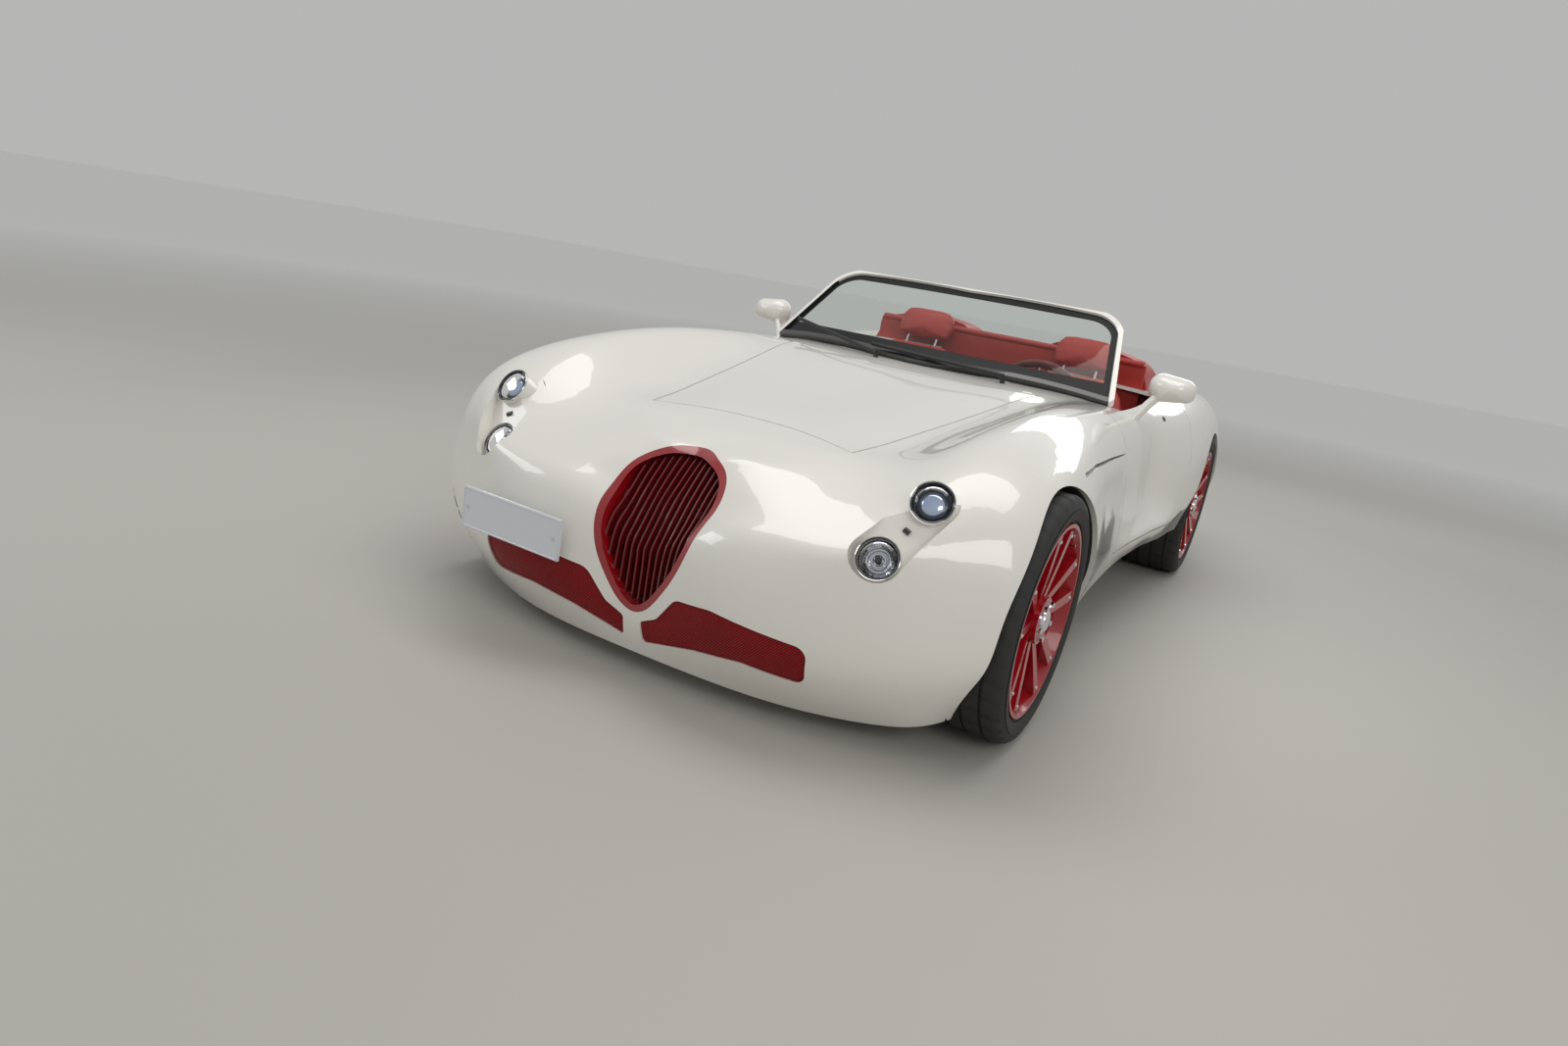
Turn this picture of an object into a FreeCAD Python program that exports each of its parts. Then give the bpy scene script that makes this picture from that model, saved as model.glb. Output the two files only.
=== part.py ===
import FreeCAD, Part
import math
import os
from FreeCAD import Vector

# An open two-seat sports car, roof folded away.
# Millimetres, nose towards -Y, the car's left towards +X, the ground at Z = 0.

# Driving sizes
WHEELBASE = 2507
FRONT_AXLE_Y = -1490
REAR_AXLE_Y = FRONT_AXLE_Y + WHEELBASE
FRONT_TYRE_RADIUS = 328
REAR_TYRE_RADIUS = 330
FRONT_WHEEL_X = 768
REAR_WHEEL_X = 773
FRONT_TYRE_WIDTH = 255
REAR_TYRE_WIDTH = 295
RIM_RADIUS = 256
SKIN = 14
SHUT_GAP = 5
FRONT_ARCH_RADIUS = 360
REAR_ARCH_RADIUS = 354
ARCH_LIP_RADIUS = 346
ARCH_LIP_X = 770
WHEELHOUSE_INNER_X = 480

# Body stations from nose to tail, right up to the middle plane at both ends.
# Columns: y and z on the middle plane, then x, y, z of the valley beside the
# bonnet's middle, of the wing's crown, of the widest line and of the lower edge,
# and how far the skirt between the last two swells out.
STATION_COLUMNS = ("mid", "valley", "crown", "side", "edge", "swell")
STATIONS = (
    ((-1872, 545), (0, -1956, 455), (0, -2020, 350), (0, -2020, 205), (0, -1978, 64), 0),
    ((-1830, 578), (95, -1872, 553), (150, -1965, 468), (195, -2060, 290), (200, -1966, 60), 0),
    ((-1765, 606), (230, -1812, 588), (345, -1980, 497), (400, -2058, 285), (420, -1925, 55), 0),
    ((-1692, 627), (305, -1708, 618), (560, -1956, 515), (622, -1988, 300), (622, -1856, 63), 0),
    ((-1605, 644), (350, -1618, 638), (644, -1816, 616), (810, -1872, 335), (748, -1788, 90), 0),
    ((-1470, 665), (390, -1475, 656), (658, -1662, 700), (904, -1776, 405), (822, -1668, 128), 0),
    ((-1290, 688), (425, -1300, 686), (668, -1482, 755), (920, -1575, 460), (864, -1545, 150), 0),
    ((-1080, 716), (455, -1090, 720), (680, -1220, 792), (914, -1265, 470), (862, -1262, 172), 0),
    ((-840, 755), (480, -840, 762), (684, -940, 807), (882, -940, 465), (854, -940, 250), 0),
    ((-600, 795), (505, -590, 799), (686, -630, 803), (856, -630, 465), (842, -630, 266), 6),
    ((-330, 820), (545, -330, 808), (698, -330, 790), (838, -330, 440), (836, -330, 270), 22),
    ((-110, 830), (580, -110, 808), (712, -110, 786), (822, -110, 445), (842, -110, 270), 42),
    ((60, 835), (602, 60, 812), (722, 60, 790), (818, 60, 450), (850, 60, 270), 52),
    ((200, 838), (606, 200, 818), (734, 200, 800), (860, 200, 445), (862, 200, 268), 34),
    ((400, 842), (606, 400, 826), (750, 400, 818), (905, 400, 470), (876, 400, 264), 10),
    ((640, 840), (598, 640, 828), (762, 640, 834), (930, 640, 520), (884, 640, 258), 0),
    ((1010, 832), (565, 1010, 818), (756, 1017, 840), (936, 1017, 505), (892, 1017, 222), 0),
    ((1400, 812), (505, 1410, 788), (712, 1410, 812), (914, 1435, 490), (862, 1435, 225), 0),
    ((1765, 785), (440, 1765, 762), (636, 1745, 756), (838, 1790, 480), (786, 1755, 238), 0),
    ((1975, 742), (335, 1985, 720), (492, 1970, 690), (645, 2012, 470), (602, 1935, 258), 0),
    ((2066, 684), (185, 2082, 636), (265, 2094, 560), (300, 2098, 420), (280, 2008, 272), 0),
    ((2092, 615), (0, 2103, 560), (0, 2103, 490), (0, 2103, 400), (0, 2022, 276), 0),
)


# Small vector helpers on plain tuples
def between(a, b, share):
    return tuple(p + (q - p) * share for p, q in zip(a, b))


def mirrored(point):
    return (-point[0], point[1], point[2])


def section(station):
    """Nine points from the middle plane out over the wing and down to the lower edge."""
    row = dict(zip(STATION_COLUMNS, station))
    valley, crown, side, edge = row["valley"], row["crown"], row["side"], row["edge"]
    mid = (0,) + row["mid"]
    dome = between(mid, valley, 0.55)
    dome = (dome[0], dome[1], max(mid[2], valley[2]) - 0.30 * abs(mid[2] - valley[2]))
    if not valley[0]:
        dome = between(mid, valley, 0.5)
    rise = between(valley, crown, 0.5)
    shoulder_plan = between(crown, side, 0.70)
    shoulder = (shoulder_plan[0], shoulder_plan[1], crown[2] + (side[2] - crown[2]) * 0.27)
    flank = tuple(p + (q - p) * share for p, q, share in zip(side, edge, (0.28, 0.30, 0.52)))
    flank = (flank[0] + row["swell"], flank[1], flank[2])
    return [mid, dome, valley, rise, crown, shoulder, side, flank, edge]


def padded(grid):
    """Adds the rows and columns beyond the border: mirror images in the middle plane,
    and a straight run past the lower edge."""
    rows = []
    for row in grid:
        beyond = tuple(2 * p - q for p, q in zip(row[-1], row[-2]))
        rows.append([mirrored(row[1])] + list(row) + [beyond])
    first = [mirrored(p) for p in rows[1]]
    last = [mirrored(p) for p in rows[-2]]
    return [first] + rows + [last]


KNOT_WEIGHTS = (1 / 6, 4 / 6, 1 / 6)


def knot_point(net, i, j):
    """The smooth surface's point at one knot of its control net."""
    total = [0.0, 0.0, 0.0]
    for di, wi in enumerate(KNOT_WEIGHTS):
        for dj, wj in enumerate(KNOT_WEIGHTS):
            pole = net[i + di - 1][j + dj - 1]
            for axis in range(3):
                total[axis] += wi * wj * pole[axis]
    return total


def control_net(grid, rounds=12):
    """Moves the poles until the smooth surface runs through the grid's own points."""
    poles = [list(row) for row in grid]
    for _ in range(rounds):
        net = padded(poles)
        poles = [
            [
                tuple(p + t - s for p, t, s in zip(poles[i][j], target, knot_point(net, i + 1, j + 1)))
                for j, target in enumerate(row)
            ]
            for i, row in enumerate(grid)
        ]
    return padded(poles)


def inset(grid, distance):
    """The same grid moved inwards along its own normals."""
    net = padded(grid)
    moved = []
    for i, row in enumerate(grid):
        new_row = []
        for j, point in enumerate(row):
            along = Vector(*net[i + 2][j + 1]) - Vector(*net[i][j + 1])
            across = Vector(*net[i + 1][j + 2]) - Vector(*net[i + 1][j])
            normal = along.cross(across)
            if normal.Length < 1e-6:
                normal = Vector(0, point[1], 0)
            normal.normalize()
            if normal.dot(Vector(point[0], point[1] * 0.3, point[2] - 400)) < 0:
                normal = normal * -1
            if point[0] == 0:
                normal.x = 0
            shifted = Vector(*point) - normal * distance
            new_row.append(tuple(shifted))
        moved.append(new_row)
    return moved


def body_solid(grid, lift=0):
    """Closed solid under the grid's surface and its mirror image, flat underneath."""
    net = control_net(grid)
    rows, columns = len(net), len(net[0])
    surface = Part.BSplineSurface()
    surface.buildFromPolesMultsKnots(
        [[Vector(*p) for p in row] for row in net],
        [1] * (rows + 4), [1] * (columns + 4),
        list(range(rows + 4)), list(range(columns + 4)),
        False, False, 3, 3)
    surface.segment(3, rows, 3, columns)
    lower_edge = surface.vIso(columns)
    keel = lower_edge.copy()
    for index, pole in enumerate(lower_edge.getPoles()):
        keel.setPole(index + 1, Vector(0, pole.y * 0.97, pole.z + lift))
    half = [surface.toShape(), Part.makeRuledSurface(lower_edge.toShape(), keel.toShape())]
    shell = Part.makeShell(half + [face.mirror(Vector(), Vector(1, 0, 0)) for face in half])
    shell.sewShape()
    solid = Part.Solid(shell)
    if solid.Volume < 0:
        solid.reverse()
    return solid


# Shape helpers
X, Y, Z = Vector(1, 0, 0), Vector(0, 1, 0), Vector(0, 0, 1)


def fused(shapes):
    shapes = list(shapes)
    if len(shapes) == 1:
        return shapes[0]
    return shapes[0].fuse(shapes[1:]).removeSplitter()


def both_sides(shape):
    """The shape with its mirror image, as solids that don't touch."""
    return Part.makeCompound([shape, shape.mirror(Vector(), X)])


def box(x, y, z):
    """Box between pairs of coordinates."""
    return Part.makeBox(x[1] - x[0], y[1] - y[0], z[1] - z[0], Vector(x[0], y[0], z[0]))


def rod(start, end, radius):
    start, end = Vector(*start), Vector(*end)
    return Part.makeCylinder(radius, (end - start).Length, start, end - start)


def outline(corners, plane):
    """Face of a polygon with rounded corners, each (a, b, radius), set in a plane by
    a function that places a and b in space."""
    count = len(corners)
    edges, tangents = [], []
    for index, (a, b, radius) in enumerate(corners):
        here = Vector(a, b, 0)
        before = Vector(*corners[index - 1][:2], 0) - here
        after = Vector(*corners[(index + 1) % count][:2], 0) - here
        before.normalize()
        after.normalize()
        if radius <= 0:
            tangents.append((here, None, here))
            continue
        half_angle = before.getAngle(after) / 2
        reach = radius / math.tan(half_angle)
        bisector = (before + after).normalize()
        middle = here + bisector * (radius / math.sin(half_angle) - radius)
        tangents.append((here + before * reach, middle, here + after * reach))
    for index, (start, middle, end) in enumerate(tangents):
        if middle is not None:
            edges.append(Part.Arc(plane(start), plane(middle), plane(end)).toShape())
        following = tangents[(index + 1) % count][0]
        if (following - end).Length > 1e-4:
            edges.append(Part.LineSegment(plane(end), plane(following)).toShape())
    return Part.Face(Part.Wire(edges))


def seen_from_top(z):
    return lambda p: Vector(p.x, p.y, z)


def seen_from_front(y):
    return lambda p: Vector(p.x, y, p.y)


def seen_from_side(x):
    return lambda p: Vector(x, p.x, p.y)


def symmetric(right_half):
    """Corner list of a closed outline from its half with x above 0, given from front
    or top round to the other end."""
    return list(right_half) + [(-a, b, r) for a, b, r in reversed(right_half)]


def turned(profile, centre, axis):
    """Solid of a profile face turned once round an axis."""
    return profile.revolve(Vector(*centre), axis, 360)


# Cutting tools that split the body into its panels
SIDE_REACH = 1100
BONNET = dict(front_middle_y=-1545, front_corner=(322, -1606), rear_corner=(485, -576), rear_middle_y=-655)
DOOR = dict(front_y=-552, rear_y=448, bevel=34, inner_x=712, sill_z=345)
COCKPIT = dict(front_y=-310, rear_y=555, half_width=707, floor_z=140)
BOOT = dict(front_y=1100, rear_y=2020, front_x=500, rear_x=330, low_z=560)


def bonnet_prism(grow):
    fx, fy = BONNET["front_corner"]
    rx, ry = BONNET["rear_corner"]
    front = Vector(0, BONNET["front_middle_y"] - grow, 560)
    rear = Vector(0, BONNET["rear_middle_y"] + grow, 560)
    corners = [Vector(fx + grow, fy - grow, 560), Vector(rx + grow, ry + grow, 560)]
    left = [Vector(-c.x, c.y, c.z) for c in corners]
    wire = Part.Wire([
        Part.Arc(left[0], front, corners[0]).toShape(),
        Part.LineSegment(corners[0], corners[1]).toShape(),
        Part.Arc(corners[1], rear, left[1]).toShape(),
        Part.LineSegment(left[1], left[0]).toShape()])
    return Part.Face(wire).extrude(Z * 400)


def door_prism(grow):
    """The left door's block in plan and from the side. Its rear edge slants outwards, so
    that the door can swing."""
    slant = (DOOR["bevel"] + 42) / (SIDE_REACH - DOOR["inner_x"])
    start = DOOR["inner_x"] - grow
    plan = outline([
        (start, DOOR["front_y"] - grow, 0), (SIDE_REACH, DOOR["front_y"] - grow, 0),
        (SIDE_REACH, DOOR["rear_y"] + 42 + grow, 0), (start, DOOR["rear_y"] - DOOR["bevel"] + grow, 0)],
        seen_from_top(0)).extrude(Z * 1200)
    side = outline([
        (DOOR["front_y"] - 400, DOOR["sill_z"] - grow, 0),
        (DOOR["rear_y"] - 100 + grow, DOOR["sill_z"] - grow, 90),
        (DOOR["rear_y"] - DOOR["bevel"] + grow, 560, 120),
        (DOOR["rear_y"] + grow, 1200, 0),
        (DOOR["front_y"] - 400, 1200, 0)],
        seen_from_side(start)).extrude(Vector(1, slant, 0) * (SIDE_REACH - start))
    return plan.common(side)


def cockpit_prism():
    half_width = COCKPIT["half_width"]
    corners = [(half_width, COCKPIT["front_y"] + 20, 40), (half_width, COCKPIT["rear_y"] - 60, 120)]
    front_edge = [(0, COCKPIT["front_y"] - 75, 0)]
    rear_edge = [(0, COCKPIT["rear_y"], 0)]
    right = front_edge + corners + rear_edge
    left = [(-a, b, r) for a, b, r in reversed(corners)]
    return outline(right + left, seen_from_top(COCKPIT["floor_z"])).extrude(Z * 900)


def boot_prism(grow):
    corners = symmetric([
        (BOOT["front_x"] + grow, BOOT["front_y"] - grow, 60),
        (BOOT["rear_x"] + grow, BOOT["rear_y"] + grow, 80)])
    return outline(corners, seen_from_top(BOOT["low_z"])).extrude(Z * 500)


def arch_block(axle_y, axle_z, radius, grow=0):
    """The room round one left wheel. Its roof slopes down inwards under the low wing root."""
    barrel = Part.makeCylinder(
        radius + grow, ARCH_LIP_X - WHEELHOUSE_INNER_X + 2 * grow,
        Vector(WHEELHOUSE_INNER_X - grow, axle_y, axle_z), X)
    roof = outline([
        (WHEELHOUSE_INNER_X - grow, -100, 0), (WHEELHOUSE_INNER_X - grow, 585 + grow, 0),
        (650, 702 + grow, 0), (1000, 702 + grow, 0), (1000, -100, 0)],
        seen_from_front(axle_y - 500)).extrude(Y * 1000)
    return barrel.common(roof)


def arch_room(axle_y, axle_z, radius, grow=0):
    """The same room with its outer lip."""
    lip = Part.makeCylinder(
        ARCH_LIP_RADIUS + grow, SIDE_REACH - ARCH_LIP_X, Vector(ARCH_LIP_X, axle_y, axle_z), X)
    return arch_block(axle_y, axle_z, radius, grow).fuse(lip)


def wheelhouse(axle_y, axle_z, radius):
    """Both arches on one axle."""
    return both_sides(arch_room(axle_y, axle_z, radius))


# Front openings, drawn from the front
GRILLE_EDGE = (
    (0, 590), (55, 585), (104, 565), (140, 534), (154, 497), (154, 455), (147, 405), (134, 350),
    (110, 295), (78, 245), (43, 204), (0, 186))
GRILLE_BORDER = 18
INTAKE = [
    (30, 108, 10), (26, 166, 14), (80, 192, 40), (138, 266, 50), (250, 280, 120), (500, 258, 30),
    (490, 156, 30), (330, 166, 100), (190, 146, 100)]
LAMP_UPPER = (644, -1824, 608)
LAMP_LOWER = (586, -1948, 493)
LAMP_AXIS = Vector(0.16, -0.84, 0.52).normalize()
LAMP_POD_RADIUS = 68


def lamp_frame(across, along):
    """Point of a lamp pod from its place across and along the line of both lamps."""
    middle = (Vector(*LAMP_UPPER) + Vector(*LAMP_LOWER)) * 0.5
    line = Vector(*LAMP_UPPER) - Vector(*LAMP_LOWER)
    line = (line - LAMP_AXIS * line.dot(LAMP_AXIS)).normalize()
    side = LAMP_AXIS.cross(line)
    return middle + side * across + line * along


def lamp_spacing():
    return (Vector(*LAMP_UPPER) - Vector(*LAMP_LOWER)).Length


def lamp_pod(radius, depth, reach):
    """Oblong block round both lamps of one side, from a depth behind them to a reach."""
    half = lamp_spacing() / 2
    corners = [(radius, half, 0), (radius, -half, 0), (-radius, -half, 0), (-radius, half, 0)]
    start = -LAMP_AXIS * depth
    slab = Part.Face(Part.makePolygon([lamp_frame(a, b) + start for a, b, _ in corners + corners[:1]]))
    length = depth + reach
    blocks = [slab.extrude(LAMP_AXIS * length)]
    for along in (half, -half):
        blocks.append(Part.makeCylinder(radius, length, lamp_frame(0, along) + start, LAMP_AXIS))
    return fused(blocks)


# Body shell and panels
GRID = [section(station) for station in STATIONS]
OUTER = body_solid(GRID)
INNER = body_solid(inset(GRID, SKIN), lift=SKIN)


def skin(depth_from, depth_to):
    """Layer of the body between two depths under its surface."""
    top = OUTER if depth_from == 0 else body_solid(inset(GRID, depth_from), lift=depth_from)
    bottom = INNER if depth_to == SKIN else body_solid(inset(GRID, depth_to), lift=depth_to)
    return top.cut(bottom)


def front_prism(corners, depth=500):
    return outline(corners, seen_from_front(-2300)).extrude(Y * depth)


def grille_prism(shrink):
    """Egg-shaped block through the nose, drawn from the front inside the grille's edge."""
    loop = list(GRILLE_EDGE) + [(-x, z) for x, z in reversed(GRILLE_EDGE[1:-1])]
    points = []
    for index, (x, z) in enumerate(loop):
        before, after = loop[index - 1], loop[(index + 1) % len(loop)]
        along = Vector(after[0] - before[0], 0, after[1] - before[1]).normalize()
        points.append(Vector(x, -2300, z) + Vector(along.z, 0, -along.x) * shrink)
    curve = Part.BSplineCurve()
    curve.interpolate(points, PeriodicFlag=True)
    return Part.Face(Part.Wire(curve.toShape())).extrude(Y * 500)


TAIL_LAMP = [(330, 640, 40), (560, 660, 40), (545, 575, 40), (330, 560, 40)]
REAR_VALANCE = symmetric([(430, 395, 50), (500, 200, 0)])


def rear_prism(corners, depth=600):
    return outline(corners, seen_from_front(1600)).extrude(Y * depth)


UNDERBODY_Z = (100, 340)
UNDERBODY_FRONT_Y = -1740
UNDERBODY_REAR_Y = 1420


def wing_vent():
    """Long thin slit high in the left front wing."""
    return outline([
        (-1310, 690, 2), (-1150, 699, 100), (-860, 690, 100), (-575, 678, 1),
        (-575, 673, 1), (-860, 683, 100), (-1150, 690, 100), (-1310, 678, 2)],
        seen_from_side(770)).extrude(X * 200)


def cut_all(shape, *tools):
    """Cuts with one solid after another."""
    for tool in tools:
        for solid in tool.Solids:
            shape = shape.cut(solid)
    return shape


def body_panels():
    """Painted panels and the inserts that fill their openings flush."""
    shell = OUTER.cut(INNER)
    wide = (-SIDE_REACH, SIDE_REACH)
    front = shell.common(box(wide, (-2300, -100), (0, 1200)))
    middle = shell.common(box(wide, (-100, 250), (0, 1200)))
    rear = shell.common(box(wide, (250, 2300), (0, 1200)))
    doors = both_sides(door_prism(SHUT_GAP))
    front_holes = Part.makeCompound([
        box((-CABIN_X, CABIN_X), (TUB_FRONT_Y, -90), UNDERBODY_Z),
        box((-WHEELHOUSE_INNER_X, WHEELHOUSE_INNER_X), (UNDERBODY_FRONT_Y, TUB_FRONT_Y + 10), UNDERBODY_Z)])
    rear_holes = Part.makeCompound([
        box((-CABIN_X, CABIN_X), (240, TUB_REAR_Y), UNDERBODY_Z),
        box((-WHEELHOUSE_INNER_X, WHEELHOUSE_INNER_X), (TUB_REAR_Y - 10, UNDERBODY_REAR_Y), UNDERBODY_Z)])
    cockpit = cockpit_prism()
    intakes = both_sides(front_prism(INTAKE))
    tail_lamps = both_sides(rear_prism(TAIL_LAMP))
    valance = rear_prism(REAR_VALANCE)
    front = cut_all(
        front, wheelhouse(FRONT_AXLE_Y, FRONT_TYRE_RADIUS, FRONT_ARCH_RADIUS), grille_prism(0),
        intakes, both_sides(lamp_pod(LAMP_POD_RADIUS, 90, 300)), doors, cockpit, front_holes,
        bonnet_prism(SHUT_GAP), both_sides(wing_vent()))
    cowl_zone = box((-430, 430), (-760, -380), (600, 1000))
    return {
        "front_body": front.cut(cowl_zone),
        "cowl": front.common(cowl_zone),
        "sills": fused(
            cut_all(middle, doors, cockpit).Solids + both_sides(INNER.common(box(*SILL_PLATE))).Solids),
        "rear_body": cut_all(
            rear, wheelhouse(REAR_AXLE_Y, REAR_TYRE_RADIUS, REAR_ARCH_RADIUS), doors, cockpit, rear_holes,
            boot_prism(SHUT_GAP), tail_lamps, valance),
        "bonnet": shell.common(bonnet_prism(0)),
        "boot_lid": shell.common(boot_prism(0)),
        "tail_lamps": shell.common(tail_lamps),
        "rear_valance": cut_all(shell.common(valance), *[
            rod((x, 1700, TAIL_TIP_Z), (x, 2300, TAIL_TIP_Z), TAIL_TIP_RADIUS + 5) for x in TAIL_TIPS]),
    }


# Face: grille, intakes and lamps
FIN_COUNT = 13
FIN_THICKNESS = 5
FIN_DEPTHS = (18, 56, 64)


def grille_surround():
    """Egg-shaped ring that follows the nose."""
    block = grille_prism(0).cut(grille_prism(GRILLE_BORDER))
    return block.common(OUTER).cut(OUTER.translated(Y * 75))


def grille_fins():
    """Thirteen upright fins tied together by two bars behind them."""
    opening = grille_prism(GRILLE_BORDER)
    half_width = max(x for x, _ in GRILLE_EDGE) - GRILLE_BORDER
    pitch = 2 * half_width / (FIN_COUNT + 1)
    front, back, bar_back = (OUTER.translated(Y * depth) for depth in FIN_DEPTHS)
    pieces = []
    for index in range(FIN_COUNT):
        x = (index - (FIN_COUNT - 1) / 2) * pitch
        slab = box((x - FIN_THICKNESS / 2, x + FIN_THICKNESS / 2), (-2200, -1700), (100, 700))
        pieces.append(opening.common(slab).common(front).cut(back))
    for z in (270, 440):
        slab = box((-200, 200), (-2200, -1700), (z, z + 16))
        pieces.append(opening.common(slab).common(back.translated(Y * -6)).cut(bar_back))
    return fused([solid for piece in pieces for solid in piece.Solids])


def intake_meshes():
    """Thin curved sheets that close the two lower intakes inside the skin."""
    layer = skin(5, 10)
    return both_sides(front_prism(INTAKE).common(layer))


LAMP_BEZEL = 52
LAMP_POD_FLOOR = 15
LAMP_LENS = 46


def lamp_housings():
    """Oblong tubs with two round cups each."""
    tub = lamp_pod(LAMP_POD_RADIUS, 60, 200).common(OUTER)
    tub = cut_all(tub, lamp_pod(LAMP_POD_RADIUS - 5, LAMP_POD_FLOOR, 300))
    half = lamp_spacing() / 2
    pieces = [tub]
    for along in (half, -half):
        foot = lamp_frame(0, along) - LAMP_AXIS * 46
        pieces.append(Part.makeCylinder(LAMP_BEZEL, 46, foot, LAMP_AXIS))
    whole = fused(pieces)
    for along in (half, -half):
        whole = whole.cut(Part.makeCylinder(LAMP_LENS, 80, lamp_frame(0, along) - LAMP_AXIS * 36, LAMP_AXIS))
    return both_sides(whole)


def lamp_lenses():
    half = lamp_spacing() / 2
    discs = [
        Part.makeCylinder(LAMP_LENS, 6, lamp_frame(0, along) - LAMP_AXIS * 12, LAMP_AXIS)
        for along in (half, -half)]
    return Part.makeCompound(discs + [disc.mirror(Vector(), X) for disc in discs])


# Windscreen: both glass edges are arcs, and the frame is a band round the glass
SCREEN_FOOT = (694, -322, 797)
SCREEN_FOOT_MIDDLE = (0, -470, 812)
SCREEN_TOP = (592, 17, 1100)
SCREEN_TOP_MIDDLE = (0, -40, 1102)
SCREEN_FRAME = 22
SCREEN_THICKNESS = 26
GLASS_THICKNESS = 6


def screen_slab(thickness):
    foot = Part.Arc(Vector(*mirrored(SCREEN_FOOT)), Vector(*SCREEN_FOOT_MIDDLE), Vector(*SCREEN_FOOT))
    top = Part.Arc(Vector(*mirrored(SCREEN_TOP)), Vector(*SCREEN_TOP_MIDDLE), Vector(*SCREEN_TOP))
    sheet = Part.makeRuledSurface(foot.toShape(), top.toShape())
    normal = screen_normal()
    return sheet.translated(normal * (-thickness / 2)).extrude(normal * thickness)


def screen_rise():
    return (Vector(*SCREEN_TOP_MIDDLE) - Vector(*SCREEN_FOOT_MIDDLE)).normalize()


def screen_normal():
    return X.cross(screen_rise())


def screen_prism(inset_by):
    """Block through the screen with rounded upper corners, drawn square to the glass."""
    rise = screen_rise()
    foot = Vector(*SCREEN_FOOT_MIDDLE)
    height = (Vector(*SCREEN_TOP) - foot).dot(rise)
    foot_height = (Vector(*SCREEN_FOOT) - foot).dot(rise)
    corners = symmetric([
        (SCREEN_FOOT[0], foot_height, 30), (SCREEN_TOP[0] + 4, height, 130)])
    corners = [(0, -6, 0)] + corners[:1] + corners[1:2] + [(0, height - 36, 0)] + corners[2:]
    start = foot - screen_normal() * 300
    plane = lambda p: start + X * p.x + rise * p.y
    face = outline(corners, plane)
    if inset_by:
        face = face.makeOffset2D(-inset_by)
    return face.extrude(screen_normal() * 600)


def windscreen():
    whole = screen_slab(SCREEN_THICKNESS).common(screen_prism(0))
    opening = screen_prism(SCREEN_FRAME)
    return {
        "windscreen_frame": whole.cut(opening).cut(OUTER),
        "windscreen_glass": screen_slab(GLASS_THICKNESS).common(opening).cut(OUTER),
    }


# Wheels, drawn with the outer side towards +X at the middle plane of the tyre
RIM_LIP = 8
FLANGE_WIDTH = 12
BEAD_RADIUS = 241


def tyre(radius, width):
    half = width / 2
    heel = half - RIM_LIP - FLANGE_WIDTH - 3
    tread = radius - 5
    right = [
        (half - 24, radius, 40), (half - 3, tread - 16, 14), (half, RIM_RADIUS + 20, 22),
        (heel, RIM_RADIUS + 1, 0), (heel, BEAD_RADIUS + 0.3, 0)]
    profile = [(-a, b, r) for a, b, r in reversed(right)] + right
    face = outline(profile, lambda p: Vector(p.x, 0, p.y))
    return turned(face, (0, 0, 0), X)


BARREL_RADIUS = 233
HUB_RADIUS = 62
HUB_BORE = 32
SPOKE_COUNT = 5


def rim_barrel(width):
    """Open barrel with both flanges and the tyre's seats."""
    lip = width / 2 - RIM_LIP
    root = lip - FLANGE_WIDTH - 2
    outer = [(lip, RIM_RADIUS - 10), (lip, RIM_RADIUS), (lip - FLANGE_WIDTH, RIM_RADIUS), (root, BEAD_RADIUS)]
    inner = [(lip - 36, BARREL_RADIUS)]
    points = [(-a, b) for a, b in inner + outer] + [(a, b) for a, b in reversed(inner + outer)]
    face = outline([(a, b, 0) for a, b in points], lambda p: Vector(p.x, 0, p.y))
    return turned(face, (0, 0, 0), X)


def spokes(width):
    """Five pairs of spokes that part from the hub and meet the rim side by side."""
    face_x = width / 2 - 14
    dish = outline([
        (face_x - 62, HUB_RADIUS - 20, 0), (face_x - 36, 150, 0), (face_x - 30, BARREL_RADIUS + 4, 0),
        (face_x + 2, BARREL_RADIUS + 4, 0), (face_x - 8, 150, 0), (face_x - 22, HUB_RADIUS - 20, 0)],
        lambda p: Vector(p.x, 0, p.y))
    dish = turned(dish, (0, 0, 0), X)
    pieces = []
    for index in range(SPOKE_COUNT):
        for side in (-1, 1):
            points = [(side * 6, 40), (side * 30, 40), (side * 78, 270), (side * 46, 270)]
            loop = Part.makePolygon([Vector(0, a, b) for a, b in points + points[:1]])
            spoke = Part.Face(loop).extrude(X * 260)
            spoke.rotate(Vector(), X, 360 / SPOKE_COUNT * index)
            pieces.append(spoke.common(dish))
    hub = Part.makeCylinder(HUB_RADIUS, 62, Vector(face_x - 66, 0, 0), X)
    return pieces + [hub]


def rim(width, disc_x):
    """Rim, spokes, hub and brake disc as one turning piece."""
    face_x = width / 2 - 14
    pieces = [rim_barrel(width)] + spokes(width)
    pieces.append(Part.makeCylinder(HUB_RADIUS - 4, face_x - 60 - disc_x, Vector(disc_x, 0, 0), X))
    pieces.append(Part.makeCylinder(178, 22, Vector(disc_x, 0, 0), X))
    whole = fused(pieces)
    return whole.cut(Part.makeCylinder(HUB_BORE, face_x - 40 - disc_x + 20, Vector(disc_x - 20, 0, 0), X))


WHEELS = {
    "front": (FRONT_WHEEL_X, FRONT_AXLE_Y, FRONT_TYRE_RADIUS, FRONT_TYRE_WIDTH, 26),
    "rear": (REAR_WHEEL_X, REAR_AXLE_Y, REAR_TYRE_RADIUS, REAR_TYRE_WIDTH, 10),
}


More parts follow.
